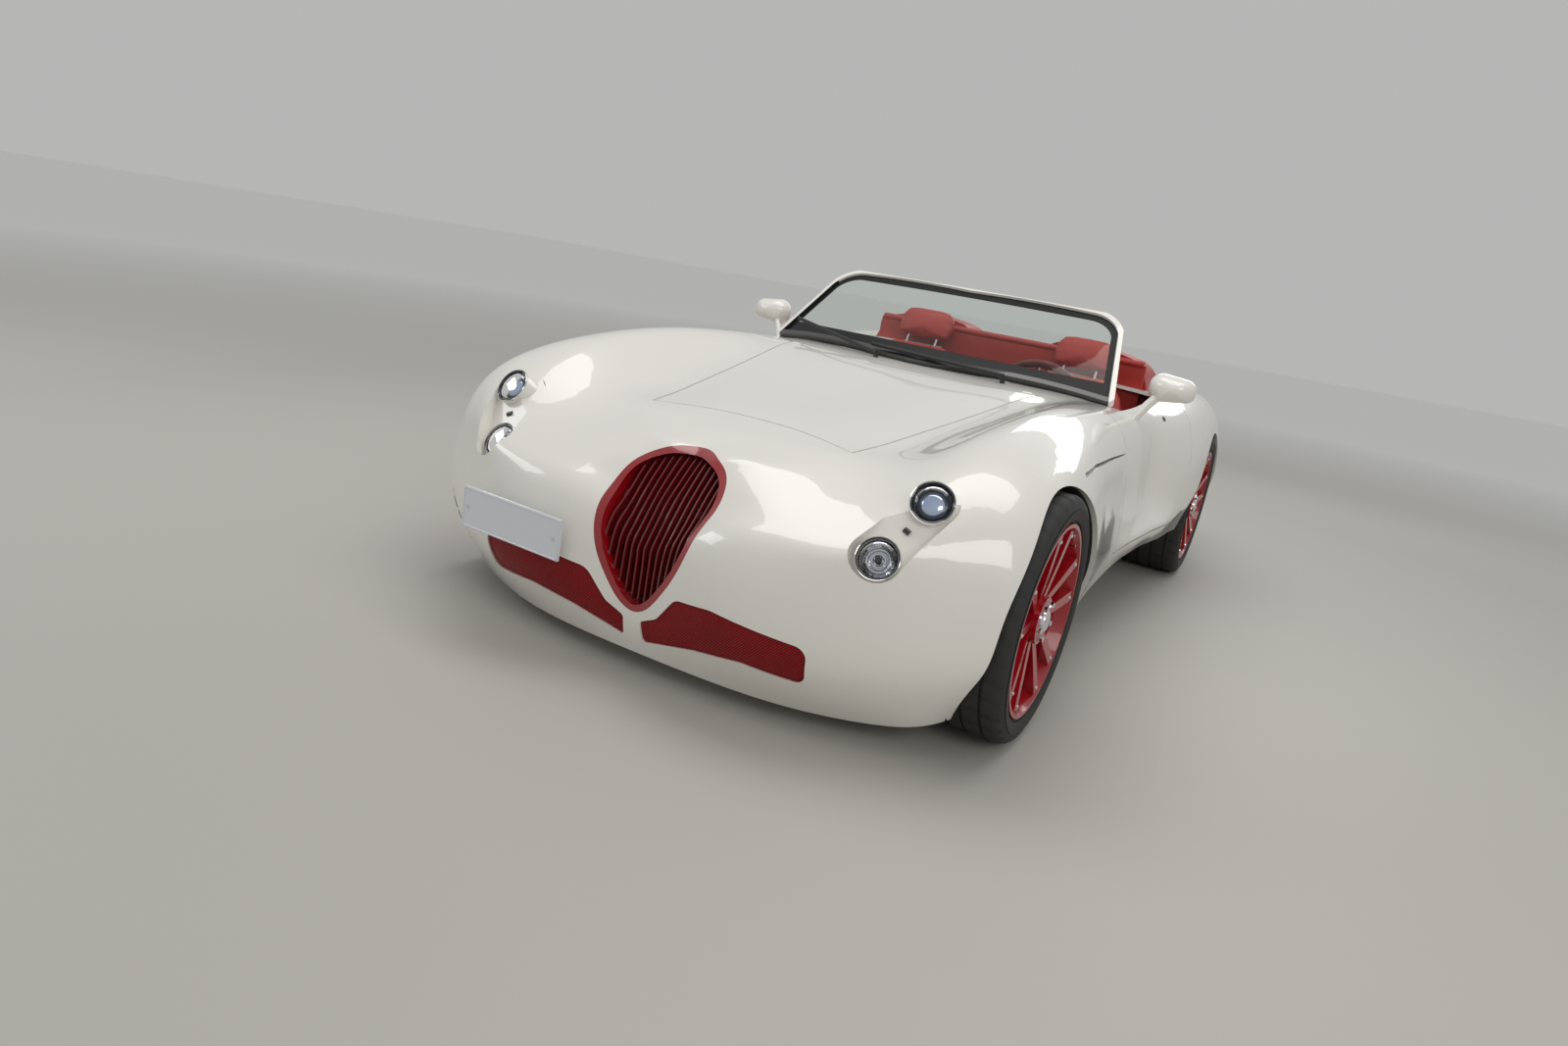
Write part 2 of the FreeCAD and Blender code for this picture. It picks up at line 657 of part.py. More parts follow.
def wheels():
    pieces = {}
    for end, (x, y, radius, width, disc_x) in WHEELS.items():
        tyre_piece = tyre(radius, width).translated(Vector(x, y, radius))
        rim_piece = rim(width, disc_x).translated(Vector(x, y, radius))
        for side in ("left", "right"):
            pieces["tyre_%s_%s" % (end, side)] = tyre_piece
            pieces["rim_%s_%s" % (end, side)] = rim_piece
            tyre_piece = tyre_piece.mirror(Vector(), X)
            rim_piece = rim_piece.mirror(Vector(), X)
    return pieces


# Running gear
SPINDLE = 31
BALL_RISE = 130
BALL_GAP = 0.4


def knuckle():
    """Left front hub carrier with its spindle, steering arm and brake caliper."""
    z = FRONT_TYRE_RADIUS
    x = FRONT_WHEEL_X
    y = FRONT_AXLE_Y
    upright = box((x - 62, x - 36), (y - 34, y + 34), (z - 140, z + 140))
    ears = [
        box((x - 62, x + 18), (y - 20, y + 20), (z + s * BALL_RISE - 11, z + s * BALL_RISE + 11))
        for s in (-1, 1)]
    spindle = rod((x - 40, y, z), (x + 70, y, z), SPINDLE)
    arm = box((x - 62, x - 42), (y + 30, y + 120), (z - 60, z - 36))
    return fused([upright, spindle, arm] + ears + [caliper(x + 26, y, z)])


def caliper(disc_x, y, z):
    """Saddle over the disc, behind the hub."""
    ring = Part.makeCylinder(196, 64, Vector(disc_x - 24, y, z), X)
    ring = ring.cut(Part.makeCylinder(112, 64, Vector(disc_x - 24, y, z), X))
    wedge = box((disc_x - 60, disc_x + 60), (y + 60, y + 210), (z - 74, z + 74))
    slot = Part.makeCylinder(184, 34, Vector(disc_x - 6, y, z), X)
    link = box((disc_x - 84, disc_x - 14), (y + 30, y + 130), (z - 26, z + 26))
    return fused([ring.common(wedge).cut(slot), link])


def rear_hubs():
    z, x, y = REAR_TYRE_RADIUS, REAR_WHEEL_X, REAR_AXLE_Y
    upright = box((x - 78, x - 30), (y - 40, y + 40), (z - 130, z + 130))
    spindle = rod((x - 40, y, z), (x + 62, y, z), SPINDLE)
    return both_sides(fused([upright, spindle, caliper(x + 10, y, z)]))


ARM_THICKNESS = 20


def arm(inner_x, outer, spread, y, z):
    """Wishbone in plan: two legs that meet at the outer joint."""
    corners = [
        (inner_x, y - spread - 22, 8), (inner_x + 30, y - spread - 22, 8), (outer, y - 20, 14),
        (outer, y + 20, 14), (inner_x + 30, y + spread + 22, 8), (inner_x, y + spread + 22, 8),
        (inner_x, y + spread - 20, 8),
        (outer - 90, y, 12), (inner_x, y - spread + 20, 8)]
    return outline(corners, seen_from_top(z)).extrude(Z * ARM_THICKNESS)


def front_suspension():
    x, y, z = FRONT_WHEEL_X, FRONT_AXLE_Y, FRONT_TYRE_RADIUS
    lower = arm(330, x + 14, 150, y, z - BALL_RISE - 11 - BALL_GAP - ARM_THICKNESS)
    upper = arm(400, x + 14, 110, y, z + BALL_RISE + 11 + BALL_GAP)
    damper = fused([rod((430, y, z - 150), (410, y, z + 40), 18), rod((416, y, z - 20), (402, y, 590), 44)])
    frame = [
        box((250, 332), (y - 210, y + 210), (z - 165, z - 110)),
        box((350, 402), (y - 160, y + 160), (z + 140, z + 200)),
        box((250, 402), (y - 30, y + 30), (z - 135, z + 145))]
    side = fused([lower, upper, damper] + frame)
    beam = box((-260, 260), (y + 150, y + 210), (z - 165, z - 130))
    return fused([side, side.mirror(Vector(), X), beam])


def rear_suspension():
    x, y, z = REAR_WHEEL_X, REAR_AXLE_Y, REAR_TYRE_RADIUS
    lower = arm(330, x - 78, 150, y, z - 126)
    upper = arm(400, x - 78, 110, y, z + 105)
    damper = fused([rod((430, y, z - 115), (410, y, z + 60), 18), rod((416, y, z + 10), (400, y, 640), 44)])
    frame = [
        box((250, 332), (y - 210, y + 210), (z - 132, z - 70)),
        box((350, 402), (y - 160, y + 160), (z + 90, z + 150)),
        box((250, 402), (y - 30, y + 30), (z - 75, z + 100))]
    side = fused([lower, upper, damper] + frame)
    beams = [box((-260, 260), (y + s - 25, y + s + 25), (z - 55, z - 10)) for s in (-185, 185)]
    beams += [box((s * 255 - 5, s * 255 + 5), (y - 210, y + 210), (z - 72, z - 22)) for s in (-1, 1)]
    return fused([side, side.mirror(Vector(), X)] + beams)


def final_drive():
    z, x, y = REAR_TYRE_RADIUS, REAR_WHEEL_X, REAR_AXLE_Y
    case = box((-110, 110), (y - 120, y + 120), (z - 80, z + 80))
    shaft = rod((-(x - 78), y + 60, z), (x - 78, y + 60, z), 18)
    return case.fuse(shaft)


# Floor, cabin and the mass under the bonnet
FLOOR_Z = 162
FLOOR = 12
CABIN_X = 707
TUB_FRONT_Y = -597
TUB_REAR_Y = 602
JACK_PADS = ((640, -480), (640, 430))
JACK_PAD_Z = 146
TUB_WALL_TOP = DOOR["sill_z"] - SHUT_GAP
SILL_PLATE = ((CABIN_X, 900), (DOOR["front_y"], DOOR["rear_y"]), (TUB_WALL_TOP - 14, TUB_WALL_TOP))


def floor_tub():
    """Floor with its tunnel, bulkheads, rails out to the subframes and jacking pads."""
    tunnel = box((-120, 120), (TUB_FRONT_Y, TUB_REAR_Y), (FLOOR_Z, 345))
    floor = box((-CABIN_X, CABIN_X), (TUB_FRONT_Y, TUB_REAR_Y), (FLOOR_Z, FLOOR_Z + FLOOR))
    firewall = box((-CABIN_X, CABIN_X), (TUB_FRONT_Y, TUB_FRONT_Y + FLOOR), (FLOOR_Z, 720))
    seat_wall = box((-CABIN_X, CABIN_X), (TUB_REAR_Y - FLOOR, TUB_REAR_Y), (FLOOR_Z, 690))
    wall = box((CABIN_X - 16, CABIN_X), (TUB_FRONT_Y, TUB_REAR_Y), (FLOOR_Z, TUB_WALL_TOP))
    rails = [
        box((s * 300 - 40, s * 300 + 40), along, (200, 262))
        for s in (-1, 1) for along in ((FRONT_AXLE_Y + 210, TUB_FRONT_Y), (TUB_REAR_Y, REAR_AXLE_Y - 210))]
    pads = [rod((s * x, y, JACK_PAD_Z), (s * x, y, FLOOR_Z), 32) for x, y in JACK_PADS for s in (-1, 1)]
    whole = fused([floor, tunnel, firewall, seat_wall] + both_sides(wall).Solids + rails + pads)
    return whole.cut(box((-106, 106), (TUB_FRONT_Y - 20, TUB_REAR_Y + 20), (0, 331)))


def luggage_tub():
    walls = box((-440, 440), (1260, 1900), (400, 640))
    return walls.cut(box((-430, 430), (1270, 1890), (410, 700)))


def engine():
    return box((-235, 235), (-1715, -1180), (FRONT_TYRE_RADIUS - 130, 600))


def radiator():
    core = box((-330, 330), (-1868, -1828), (150, 470))
    feet = [box((x - 20, x + 20), (-1858, -1838), (60, 150)) for x in (-250, 250)]
    return fused([core] + feet).common(INNER)


def wheelhouse_liners():
    """Inner arches: half barrels with a wall that the suspension passes through."""
    pieces = []
    for y, z, radius in (
            (FRONT_AXLE_Y, FRONT_TYRE_RADIUS, FRONT_ARCH_RADIUS),
            (REAR_AXLE_Y, REAR_TYRE_RADIUS, REAR_ARCH_RADIUS)):
        barrel = arch_room(y, z, radius, 6).cut(arch_room(y, z, radius))
        barrel = barrel.cut(Part.makeCylinder(250, 60, Vector(WHEELHOUSE_INNER_X - 30, y, z), X))
        barrel = barrel.cut(box((400, 1000), (y - 500, y + 500), (0, z - 20)))
        pieces.append(barrel.common(INNER))
    return Part.makeCompound([side for piece in pieces for side in (piece, piece.mirror(Vector(), X))])


TAIL_TIP_Y = 2088
TAIL_TIPS = (-300, -210, 210, 300)
TAIL_TIP_Z = 315
TAIL_TIP_RADIUS = 38


def exhaust():
    """Pipe in the tunnel, past the final drive, to a cross silencer with four tips."""
    silencer = box((-330, 330), (1560, 1800), (275, 392))
    hangers = [box((x - 15, x + 15), (1650, 1680), (380, 400)) for x in (-250, 250)]
    route = [(0, -1150, 235), (0, 580, 235), (165, 780, 235), (165, 1250, 235), (165, 1580, 322)]
    pipe = [rod(start, end, 32) for start, end in zip(route, route[1:])]
    pipe += [Part.makeSphere(32, Vector(*bend)) for bend in route[1:-1]]
    tips = []
    for x in TAIL_TIPS:
        tip = rod((x, 1790, TAIL_TIP_Z), (x, TAIL_TIP_Y, TAIL_TIP_Z), TAIL_TIP_RADIUS)
        bore = rod((x, 1900, TAIL_TIP_Z), (x, TAIL_TIP_Y + 10, TAIL_TIP_Z), TAIL_TIP_RADIUS - 4)
        tips.append(tip.cut(bore))
    return fused([silencer] + hangers + pipe + tips)


SEAT_X = 370


def seat():
    """Left sports seat: cushion, back and headrest with side bolsters."""
    cushion = outline([
        (-190, 232, 20), (-205, 345, 50), (-100, 392, 60), (250, 345, 30), (330, 232, 40)],
        seen_from_side(SEAT_X - 170)).extrude(X * 340)
    back = outline([
        (180, 300, 40), (262, 300, 40), (470, 830, 30), (440, 880, 30), (392, 860, 30), (250, 500, 80)],
        seen_from_side(SEAT_X - 170)).extrude(X * 340)
    headrest = outline([
        (425, 872, 20), (500, 860, 20), (545, 985, 25), (520, 1006, 20), (458, 985, 25)],
        seen_from_side(SEAT_X - 130)).extrude(X * 260)
    posts = [rod((SEAT_X + a, 440, 820), (SEAT_X + a, 486, 930), 8) for a in (-70, 70)]
    pieces = [cushion, back, headrest] + posts
    for side in (-1, 1):
        x = SEAT_X + side * 205 - 40
        pieces.append(outline([
            (-170, 232, 20), (-190, 360, 50), (-80, 418, 60), (240, 380, 30), (320, 232, 40)],
            seen_from_side(x)).extrude(X * 80))
        pieces.append(outline([
            (130, 300, 40), (262, 300, 40), (450, 790, 30), (400, 830, 30), (310, 760, 40), (180, 480, 80)],
            seen_from_side(x)).extrude(X * 80))
    pieces.append(box((SEAT_X - 190, SEAT_X - 140), (-150, 300), (FLOOR_Z + FLOOR, 240)))
    pieces.append(box((SEAT_X + 140, SEAT_X + 190), (-150, 300), (FLOOR_Z + FLOOR, 240)))
    return fused(pieces)


WHEEL_CENTRE = (370, -75, 722)
WHEEL_TILT = 24
STEERING_RADIUS = 176


def steering_axis():
    tilt = math.radians(WHEEL_TILT)
    return Vector(0, math.cos(tilt), math.sin(tilt))


def steering_wheel():
    """Rim, three spokes and boss, drawn flat and then tilted to the column."""
    ring = Part.makeTorus(STEERING_RADIUS, 15)
    boss = Part.makeCylinder(52, 40, Vector(0, 0, -30), Z)
    spokes = [
        box((-STEERING_RADIUS, STEERING_RADIUS), (-22, 22), (-12, 4)),
        box((-24, 24), (-STEERING_RADIUS, 0), (-12, 4))]
    whole = fused([ring, boss] + spokes)
    whole.rotate(Vector(), X, -(90 - WHEEL_TILT))
    whole.translate(Vector(*WHEEL_CENTRE))
    return whole


def steering_column():
    centre = Vector(*WHEEL_CENTRE)
    start = centre - steering_axis() * 30.3
    stalks = centre - steering_axis() * 90
    return fused([
        rod(tuple(start), tuple(centre - steering_axis() * 300), 34),
        rod(tuple(stalks - X * 120), tuple(stalks + X * 120), 7)])


def dashboard():
    body = outline([
        (TUB_FRONT_Y + FLOOR, 560, 0), (TUB_FRONT_Y + FLOOR, 735, 0), (-430, 768, 60), (-275, 764, 40),
        (-240, 690, 60), (-330, 560, 60)],
        seen_from_side(-CABIN_X + 9)).extrude(X * (2 * CABIN_X - 18))
    hood = rod((370, -330, 740), (370, -222, 728), 90)
    dash = fused([body, hood.cut(rod((370, -290, 735), (370, -200, 725), 80))])
    centre = Vector(*WHEEL_CENTRE)
    passage = rod(tuple(centre), tuple(centre - steering_axis() * 300), 34)
    return dash.cut(passage)


def centre_console():
    profile = outline([
        (-420, 345.3, 10), (-420, 540, 30), (-330, 556, 30), (-200, 430, 60), (480, 420, 30),
        (480, 345.3, 10)],
        seen_from_side(-95)).extrude(X * 190)
    knob = Part.makeSphere(24, Vector(0, -90, 520))
    stick = rod((0, -110, 410), (0, -90, 520), 7)
    return fused([profile, knob, stick])


def rear_deck():
    """Padded wall behind the seats with a fairing behind each headrest."""
    wall = outline([
        (556, 560, 20), (566, 804, 20), (590, 804, 0), (590, 560, 0)],
        seen_from_side(-640)).extrude(X * 1280)
    pieces = [wall]
    front = outline([
        (150, 780, 0), (190, 950, 60), (380, 985, 200), (600, 935, 90), (664, 780, 0)],
        seen_from_front(556)).extrude(Y * 360)
    top = outline([
        (556, 780, 0), (556, 1010, 0), (650, 1002, 60), (916, 845, 60), (916, 780, 0)],
        seen_from_side(100)).extrude(X * 600)
    fairing = front.common(top).cut(OUTER)
    return Part.makeCompound([wall, fairing, fairing.mirror(Vector(), X)])


MIRROR_CENTRE = (838, -137, 882)


def mirror():
    """Left mirror: rounded shell on a slim stalk that stands on the door."""
    x, y, z = MIRROR_CENTRE
    face = outline([
        (x - 82, z + 54, 44), (x + 84, z + 36, 34), (x + 84, z - 26, 28), (x - 78, z - 52, 42)],
        seen_from_front(y - 80)).extrude(Y * 104)
    plan = outline([
        (x - 84, y + 24, 10), (x + 85, y + 24, 10), (x + 66, y - 52, 56), (x - 62, y - 52, 56)],
        seen_from_top(z - 90)).extrude(Z * 180)
    stalk = rod((x - 40, y - 14, z - 40), (x - 92, y - 64, z - 128), 14).cut(OUTER)
    return face.common(plan).fuse(stalk)


PLATE_CENTRE = (-371, -2082, 324)
PLATE_SIZE = (350, 108)
PLATE_YAW = -2


def number_plate():
    """Blank plate on its bracket, offset to the car's right."""
    width, height = PLATE_SIZE
    plate = box((-width / 2, width / 2), (-4, 4), (-height / 2, height / 2))
    bracket = box((-70, 110), (4, 80), (-14, 14))
    whole = plate.fuse(bracket)
    whole.rotate(Vector(), Z, PLATE_YAW)
    whole.translate(Vector(*PLATE_CENTRE))
    return whole.cut(OUTER)


def wipers():
    rise, normal = screen_rise(), screen_normal()
    start = Vector(*SCREEN_FOOT_MIDDLE) + normal * 22
    arms = []
    for pivot_x, tip_x in ((330, -200), (-160, -560)):
        first = start + X * pivot_x + rise * (-18 + (pivot_x / 680) ** 2 * 110)
        last = start + X * tip_x + rise * (26 + (tip_x / 680) ** 2 * 110)
        spindle = rod(tuple(first), tuple(first - Z * 50), 9).cut(OUTER)
        arms.append(rod(tuple(first), tuple(last), 7).fuse(spindle))
    return Part.makeCompound(arms)


BONNET_HINGE = (-573.5, 799)
BOOT_HINGE = (1095, 826.5)
BONNET_BARREL = 6.7
BOOT_BARREL = 4.6


def hinges():
    """Fixed halves of the hinges: barrels in the lids' gaps, leaves and strikers in the doors' gaps."""
    barrels = []
    for (y, z), x, radius in ((BONNET_HINGE, 455, BONNET_BARREL), (BOOT_HINGE, 120, BOOT_BARREL)):
        barrels.append(rod((x - 16, y, z), (x + 16, y, z), radius))
    leaves = []
    for z in (400, 600):
        leaves.append(box((760, 820), (DOOR["front_y"] - SHUT_GAP, DOOR["front_y"] - 0.3), (z, z + 60)))
    pieces = barrels + leaves
    return Part.makeCompound(pieces + [piece.mirror(Vector(), X) for piece in pieces])


def build():
    pieces = body_panels()
    left_door = OUTER.common(door_prism(0))
    pieces.update({
        "door_left": left_door,
        "door_right": left_door.mirror(Vector(), X),
        "mirror_left": mirror(),
        "mirror_right": mirror().mirror(Vector(), X),
        "grille_surround": grille_surround(),
        "grille_fins": grille_fins(),
        "intake_meshes": intake_meshes(),
        "lamp_housings": lamp_housings(),
        "lamp_lenses": lamp_lenses(),
        "number_plate": number_plate(),
        "wipers": wipers(),
        "hinges": hinges().cut(pieces["front_body"]).cut(pieces["rear_body"]),
        "floor_tub": floor_tub(),
        "luggage_tub": luggage_tub(),
        "engine": engine(),
        "radiator": radiator(),
        "wheelhouse_liners": wheelhouse_liners(),
        "exhaust": exhaust(),
        "front_suspension": front_suspension(),
        "rear_suspension": rear_suspension(),
        "rear_hubs": rear_hubs(),
        "final_drive": final_drive(),
        "dashboard": dashboard(),
        "centre_console": centre_console(),
        "rear_deck": rear_deck(),
        "steering_column": steering_column(),
        "steering_wheel": steering_wheel(),
        "seat_left": seat(),
        "seat_right": seat().mirror(Vector(), X),
        "knuckle_left": knuckle(),
        "knuckle_right": knuckle().mirror(Vector(), X),
    })
    pieces.update(windscreen())
    pieces.update(wheels())
    return pieces


os.makedirs("parts", exist_ok=True)
for name, shape in build().items():
    shape.exportStep("parts/%s.step" % name)
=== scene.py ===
# %% [markdown]
# # An open two-seat sports car
# This lesson dresses a finished CAD model of a white roadster. The CAD gives every
# panel at its real place in metres, so nothing is fitted here: each step only adds a
# finish, or a piece that the CAD leaves plain, and says which body it moves with.

# %% Load the frame
import bpy
import math
from mathutils import Matrix, Vector


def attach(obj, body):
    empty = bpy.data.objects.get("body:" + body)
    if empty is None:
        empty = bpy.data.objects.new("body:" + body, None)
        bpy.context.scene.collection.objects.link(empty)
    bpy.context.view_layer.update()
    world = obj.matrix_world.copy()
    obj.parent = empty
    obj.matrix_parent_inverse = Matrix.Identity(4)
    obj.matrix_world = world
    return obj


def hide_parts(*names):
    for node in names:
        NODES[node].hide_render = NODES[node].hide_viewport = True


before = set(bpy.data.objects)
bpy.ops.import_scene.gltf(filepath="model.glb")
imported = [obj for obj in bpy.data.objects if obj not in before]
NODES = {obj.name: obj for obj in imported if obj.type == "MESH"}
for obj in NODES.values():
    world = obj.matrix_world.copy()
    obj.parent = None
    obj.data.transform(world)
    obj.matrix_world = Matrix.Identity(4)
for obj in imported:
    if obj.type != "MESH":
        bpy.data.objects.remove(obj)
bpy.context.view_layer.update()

# %% [markdown]
# ## Writing materials as sums
# A material is a tree of nodes, and long trees are hard to read. The small class below
# wraps one socket and lets us add, subtract and multiply sockets as if they were numbers.
# Each sum becomes a Math node. Everything else goes through one method that names the
# node, its settings and what its sockets get.

# %% A socket that can be calculated with
class Wire:
    """One output socket in a material's tree."""

    def __init__(self, tree, socket):
        self.tree = tree
        self.socket = socket

    def maths(self, operation, *others):
        node = self.tree.nodes.new("ShaderNodeMath")
        node.operation = operation
        for place, value in enumerate((self,) + others):
            plug(self.tree, node.inputs[place], value)
        return Wire(self.tree, node.outputs[0])

    def __add__(self, other):
        return self.maths("ADD", other)

    def __mul__(self, other):
        return self.maths("MULTIPLY", other)

    def __sub__(self, other):
        return self.maths("SUBTRACT", other)

    def __rsub__(self, other):
        return (self * -1.0) + other

    __radd__ = __add__
    __rmul__ = __mul__


def plug(tree, socket, value):
    """Links a wire to a socket, or writes a plain value into it."""
    if isinstance(value, Wire):
        tree.links.new(value.socket, socket)
    else:
        socket.default_value = value


# %% A finish is a material with its own node maker
class Finish:
    """A material on the Principled shader."""

    def __init__(self, name, **sockets):
        self.material = bpy.data.materials.new(name)
        self.material.use_nodes = True
        self.tree = self.material.node_tree
        self.shader = self.tree.nodes["Principled BSDF"]
        for key, value in sockets.items():
            self.feed(key.replace("_", " ").title().replace("Ior", "IOR"), value)

    def feed(self, socket_name, value):
        plug(self.tree, self.shader.inputs[socket_name], value)

    def node(self, kind, settings, sockets, output=0):
        """Adds any node: its settings first, then its sockets."""
        made = self.tree.nodes.new(kind)
        for name, value in settings.items():
            setattr(made, name, value)
        for name, value in sockets.items():
            plug(self.tree, made.inputs[name], value)
        return Wire(self.tree, made.outputs[output])

    def place(self):
        """The point on the object, in metres."""
        return self.node("ShaderNodeTexCoord", {}, {}, "Object")

    def parts_of_place(self):
        point = self.place()
        return [self.node("ShaderNodeSeparateXYZ", {}, {0: point}, axis) for axis in "XYZ"]

    def noise(self, scale, detail=2.0):
        sockets = {"Vector": self.place(), "Scale": scale, "Detail": detail}
        return self.node("ShaderNodeTexNoise", {}, sockets, "Fac")

    def cells(self, scale):
        """Distance to the nearest wall between irregular cells, as in leather's grain."""
        sockets = {"Vector": self.place(), "Scale": scale}
        return self.node("ShaderNodeTexVoronoi", {"feature": "DISTANCE_TO_EDGE"}, sockets, "Distance")

    def between(self, share, first, second):
        """Mixes two colours."""
        return self.node("ShaderNodeMix", {"data_type": "RGBA"}, {0: share, 6: first, 7: second}, 2)

    def relief(self, height, depth, strength=1.0):
        """Feeds a height to the shader's normal. The depth says how many metres a height of 1 is."""
        sockets = {"Height": height, "Distance": depth, "Strength": strength}
        self.feed("Normal", self.node("ShaderNodeBump", {}, sockets, "Normal"))


def step_over(value, edge, softness):
    """0 below the edge and 1 above it, with a soft ramp between."""
    ramp = (value - edge) * (1.0 / softness)
    return ramp.maths("MAXIMUM", 0.0).maths("MINIMUM", 1.0)


# %% [markdown]
# ## Paint
# The body has a warm white solid paint under clear lacquer. The lacquer is the shader's
# coat: a second, mirror-like layer over a satin colour. Real lacquer is never perfectly
# flat, so a very faint noise bends its reflections a little, and another noise makes the
# colour underneath a touch uneven.

# %% Paint and other hard gloss finishes
def lacquer(name, colour, darker):
    finish = Finish(name, roughness=0.32, coat_weight=1.0, coat_roughness=0.025, coat_ior=1.52)
    finish.feed("Base Color", finish.between(finish.noise(3.0), darker, colour))
    finish.relief(finish.noise(320.0, 1.0), 0.00002, 0.5)
    return finish.material


WHITE = (0.84, 0.825, 0.77, 1)
PAINT = lacquer("white_paint", WHITE, (0.82, 0.805, 0.75, 1))
RED_GLOSS = lacquer("red_gloss", (0.34, 0.003, 0.008, 1), (0.28, 0.002, 0.006, 1))
PLATE_PAINT = lacquer("blank_plate", (0.72, 0.75, 0.80, 1), (0.70, 0.73, 0.78, 1))
print("lacquers:", 3)

# %% [markdown]
# ## Fins, plastics and metals
# Fins and trims are satin: rough enough to spread a highlight, with a fine grain in the
# bump. Bright metal is nearly smooth and fully metallic. Brushed and cast metal differ
# only in how strong and how large their grain is.

# %% Plain satin finishes
def satin(name, colour, roughness, grain=900.0, depth=0.00004, metallic=0.0, coat=0.0):
    finish = Finish(name, metallic=metallic, coat_weight=coat, coat_roughness=0.06)
    speckle = finish.noise(grain)
    shade = tuple(c * 0.86 for c in colour[:3]) + (1,)
    finish.feed("Base Color", finish.between(finish.noise(7.0), shade, colour))
    finish.feed("Roughness", speckle * 0.16 + (roughness - 0.08))
    finish.relief(speckle, depth)
    return finish.material


FIN_RED = satin("fin_red", (0.16, 0.003, 0.007, 1), 0.26, 400.0, 0.00001, coat=1.0)
BLACK_TRIM = satin("black_trim", (0.018, 0.018, 0.019, 1), 0.5)
UNDERBODY = satin("underbody", (0.03, 0.03, 0.03, 1), 0.7, 160.0, 0.0003)
STEEL = satin("satin_steel", (0.44, 0.44, 0.45, 1), 0.36, 700.0, 0.00003, 1.0)
CAST_ALLOY = satin("cast_alloy", (0.52, 0.52, 0.54, 1), 0.46, 380.0, 0.00012, 1.0)
CHROME = satin("bright_metal", (0.82, 0.82, 0.84, 1), 0.1, 60.0, 0.00001, 1.0)
MIRROR = satin("mirror_silver", (0.86, 0.88, 0.9, 1), 0.09, 10.0, 0.000001, 1.0)
GLOSS_BLACK = satin("gloss_black", (0.012, 0.012, 0.013, 1), 0.16, 300.0, 0.00001, coat=1.0)

# %% [markdown]
# ## Wheels and brake discs
# Each wheel and its brake disc turn together, so the CAD holds them as one node. Only the
# finish tells them apart: within the disc's thickness and radius the surface is bare
# ground iron with fine rings, and everywhere else it is red lacquer.

# %% Where the axles are
AXLES = {
    "front": dict(x=0.768, y=-1.490, radius=0.328, width=0.255, disc=0.026),
    "rear": dict(x=0.773, y=1.017, radius=0.330, width=0.295, disc=0.010),
}


# %% Wheel finish with a bare disc
DISC_RADIUS = 0.1795


def beyond_axle(finish, axle):
    """Distance outwards from the wheel's middle plane, and distance from its axle."""
    x, y, z = finish.parts_of_place()
    across = x.maths("ABSOLUTE") - axle["x"]
    rise, along = z - axle["radius"], y - axle["y"]
    return across, (rise * rise + along * along).maths("SQRT")


def wheel_finish(name, axle):
    finish = Finish(name, coat_roughness=0.05)
    across, radius = beyond_axle(finish, axle)
    first, last = axle["disc"] - 0.002, axle["disc"] + 0.0235
    disc = across.maths("GREATER_THAN", first) * across.maths("LESS_THAN", last)
    disc = disc * radius.maths("LESS_THAN", DISC_RADIUS)
    red = finish.between(finish.noise(4.0), (0.34, 0.002, 0.008, 1), (0.42, 0.003, 0.012, 1))
    finish.feed("Base Color", finish.between(disc, red, (0.30, 0.30, 0.31, 1)))
    finish.feed("Metallic", disc)
    finish.feed("Roughness", 0.3 + disc * 0.1)
    finish.feed("Coat Weight", (1.0 - disc) * 0.6)
    finish.relief((radius * 3600.0).maths("SINE") * disc, 0.00006)
    return finish.material


WHEEL_PAINT = {end: wheel_finish("wheel_paint_" + end, axle) for end, axle in AXLES.items()}

# %% [markdown]
# ## Rubber
# Tyre rubber is dark grey rather than black, and matt. The moulded sidewall has fine
# rings round the wheel's axle. They come from the distance to the axle, so the same
# finish needs to know each axle's height and place along the car.

# %% Rubber for one axle
def rubber(name, axle, bead, crown):
    finish = Finish(name)
    across, radius = beyond_axle(finish, axle)
    wall = step_over(radius, bead, 0.004) * (1.0 - step_over(radius, crown, 0.004))
    rings = (radius * 1250.0).maths("SINE") * 0.5 + 0.5
    dust = finish.noise(24.0, 4.0)
    finish.feed("Base Color", finish.between(dust, (0.016, 0.016, 0.017, 1), (0.034, 0.033, 0.032, 1)))
    finish.feed("Roughness", dust * 0.2 + 0.6)
    finish.relief(rings * wall * 0.5 + finish.noise(700.0) * 0.4, 0.0006)
    return finish.material


# %% [markdown]
# ## Leather
# Leather's grain is a net of fine creases round irregular cells. A cell texture gives
# the net, and its bump is a few tenths of a millimetre deep. Larger, softer noise varies
# colour and shine, as handling does on a real seat.

# %% Leather and carpet
LEATHER_RED = (0.46, 0.024, 0.013, 1)
LEATHER_SHADE = (0.35, 0.015, 0.009, 1)
GRAIN_CELLS = 330.0
CREASE_WIDTH = 0.12
GRAIN_DEPTH = 0.0003


def leather(name, colour, shade, scale=GRAIN_CELLS):
    finish = Finish(name, coat_weight=0.12, coat_roughness=0.35)
    crease = step_over(finish.cells(scale), 0.0, CREASE_WIDTH)
    worn = finish.noise(5.0, 3.0)
    finish.feed("Base Color", finish.between(worn, shade, colour))
    finish.feed("Roughness", worn * 0.18 + 0.36)
    finish.relief(crease + finish.noise(60.0) * 0.6, GRAIN_DEPTH)
    return finish.material


def carpet(name, colour, shade):
    finish = Finish(name, roughness=0.95, sheen_weight=0.5, sheen_roughness=0.5)
    pile = finish.noise(1100.0, 3.0)
    finish.feed("Base Color", finish.between(pile, shade, colour))
    finish.relief(pile, 0.0016)
    return finish.material


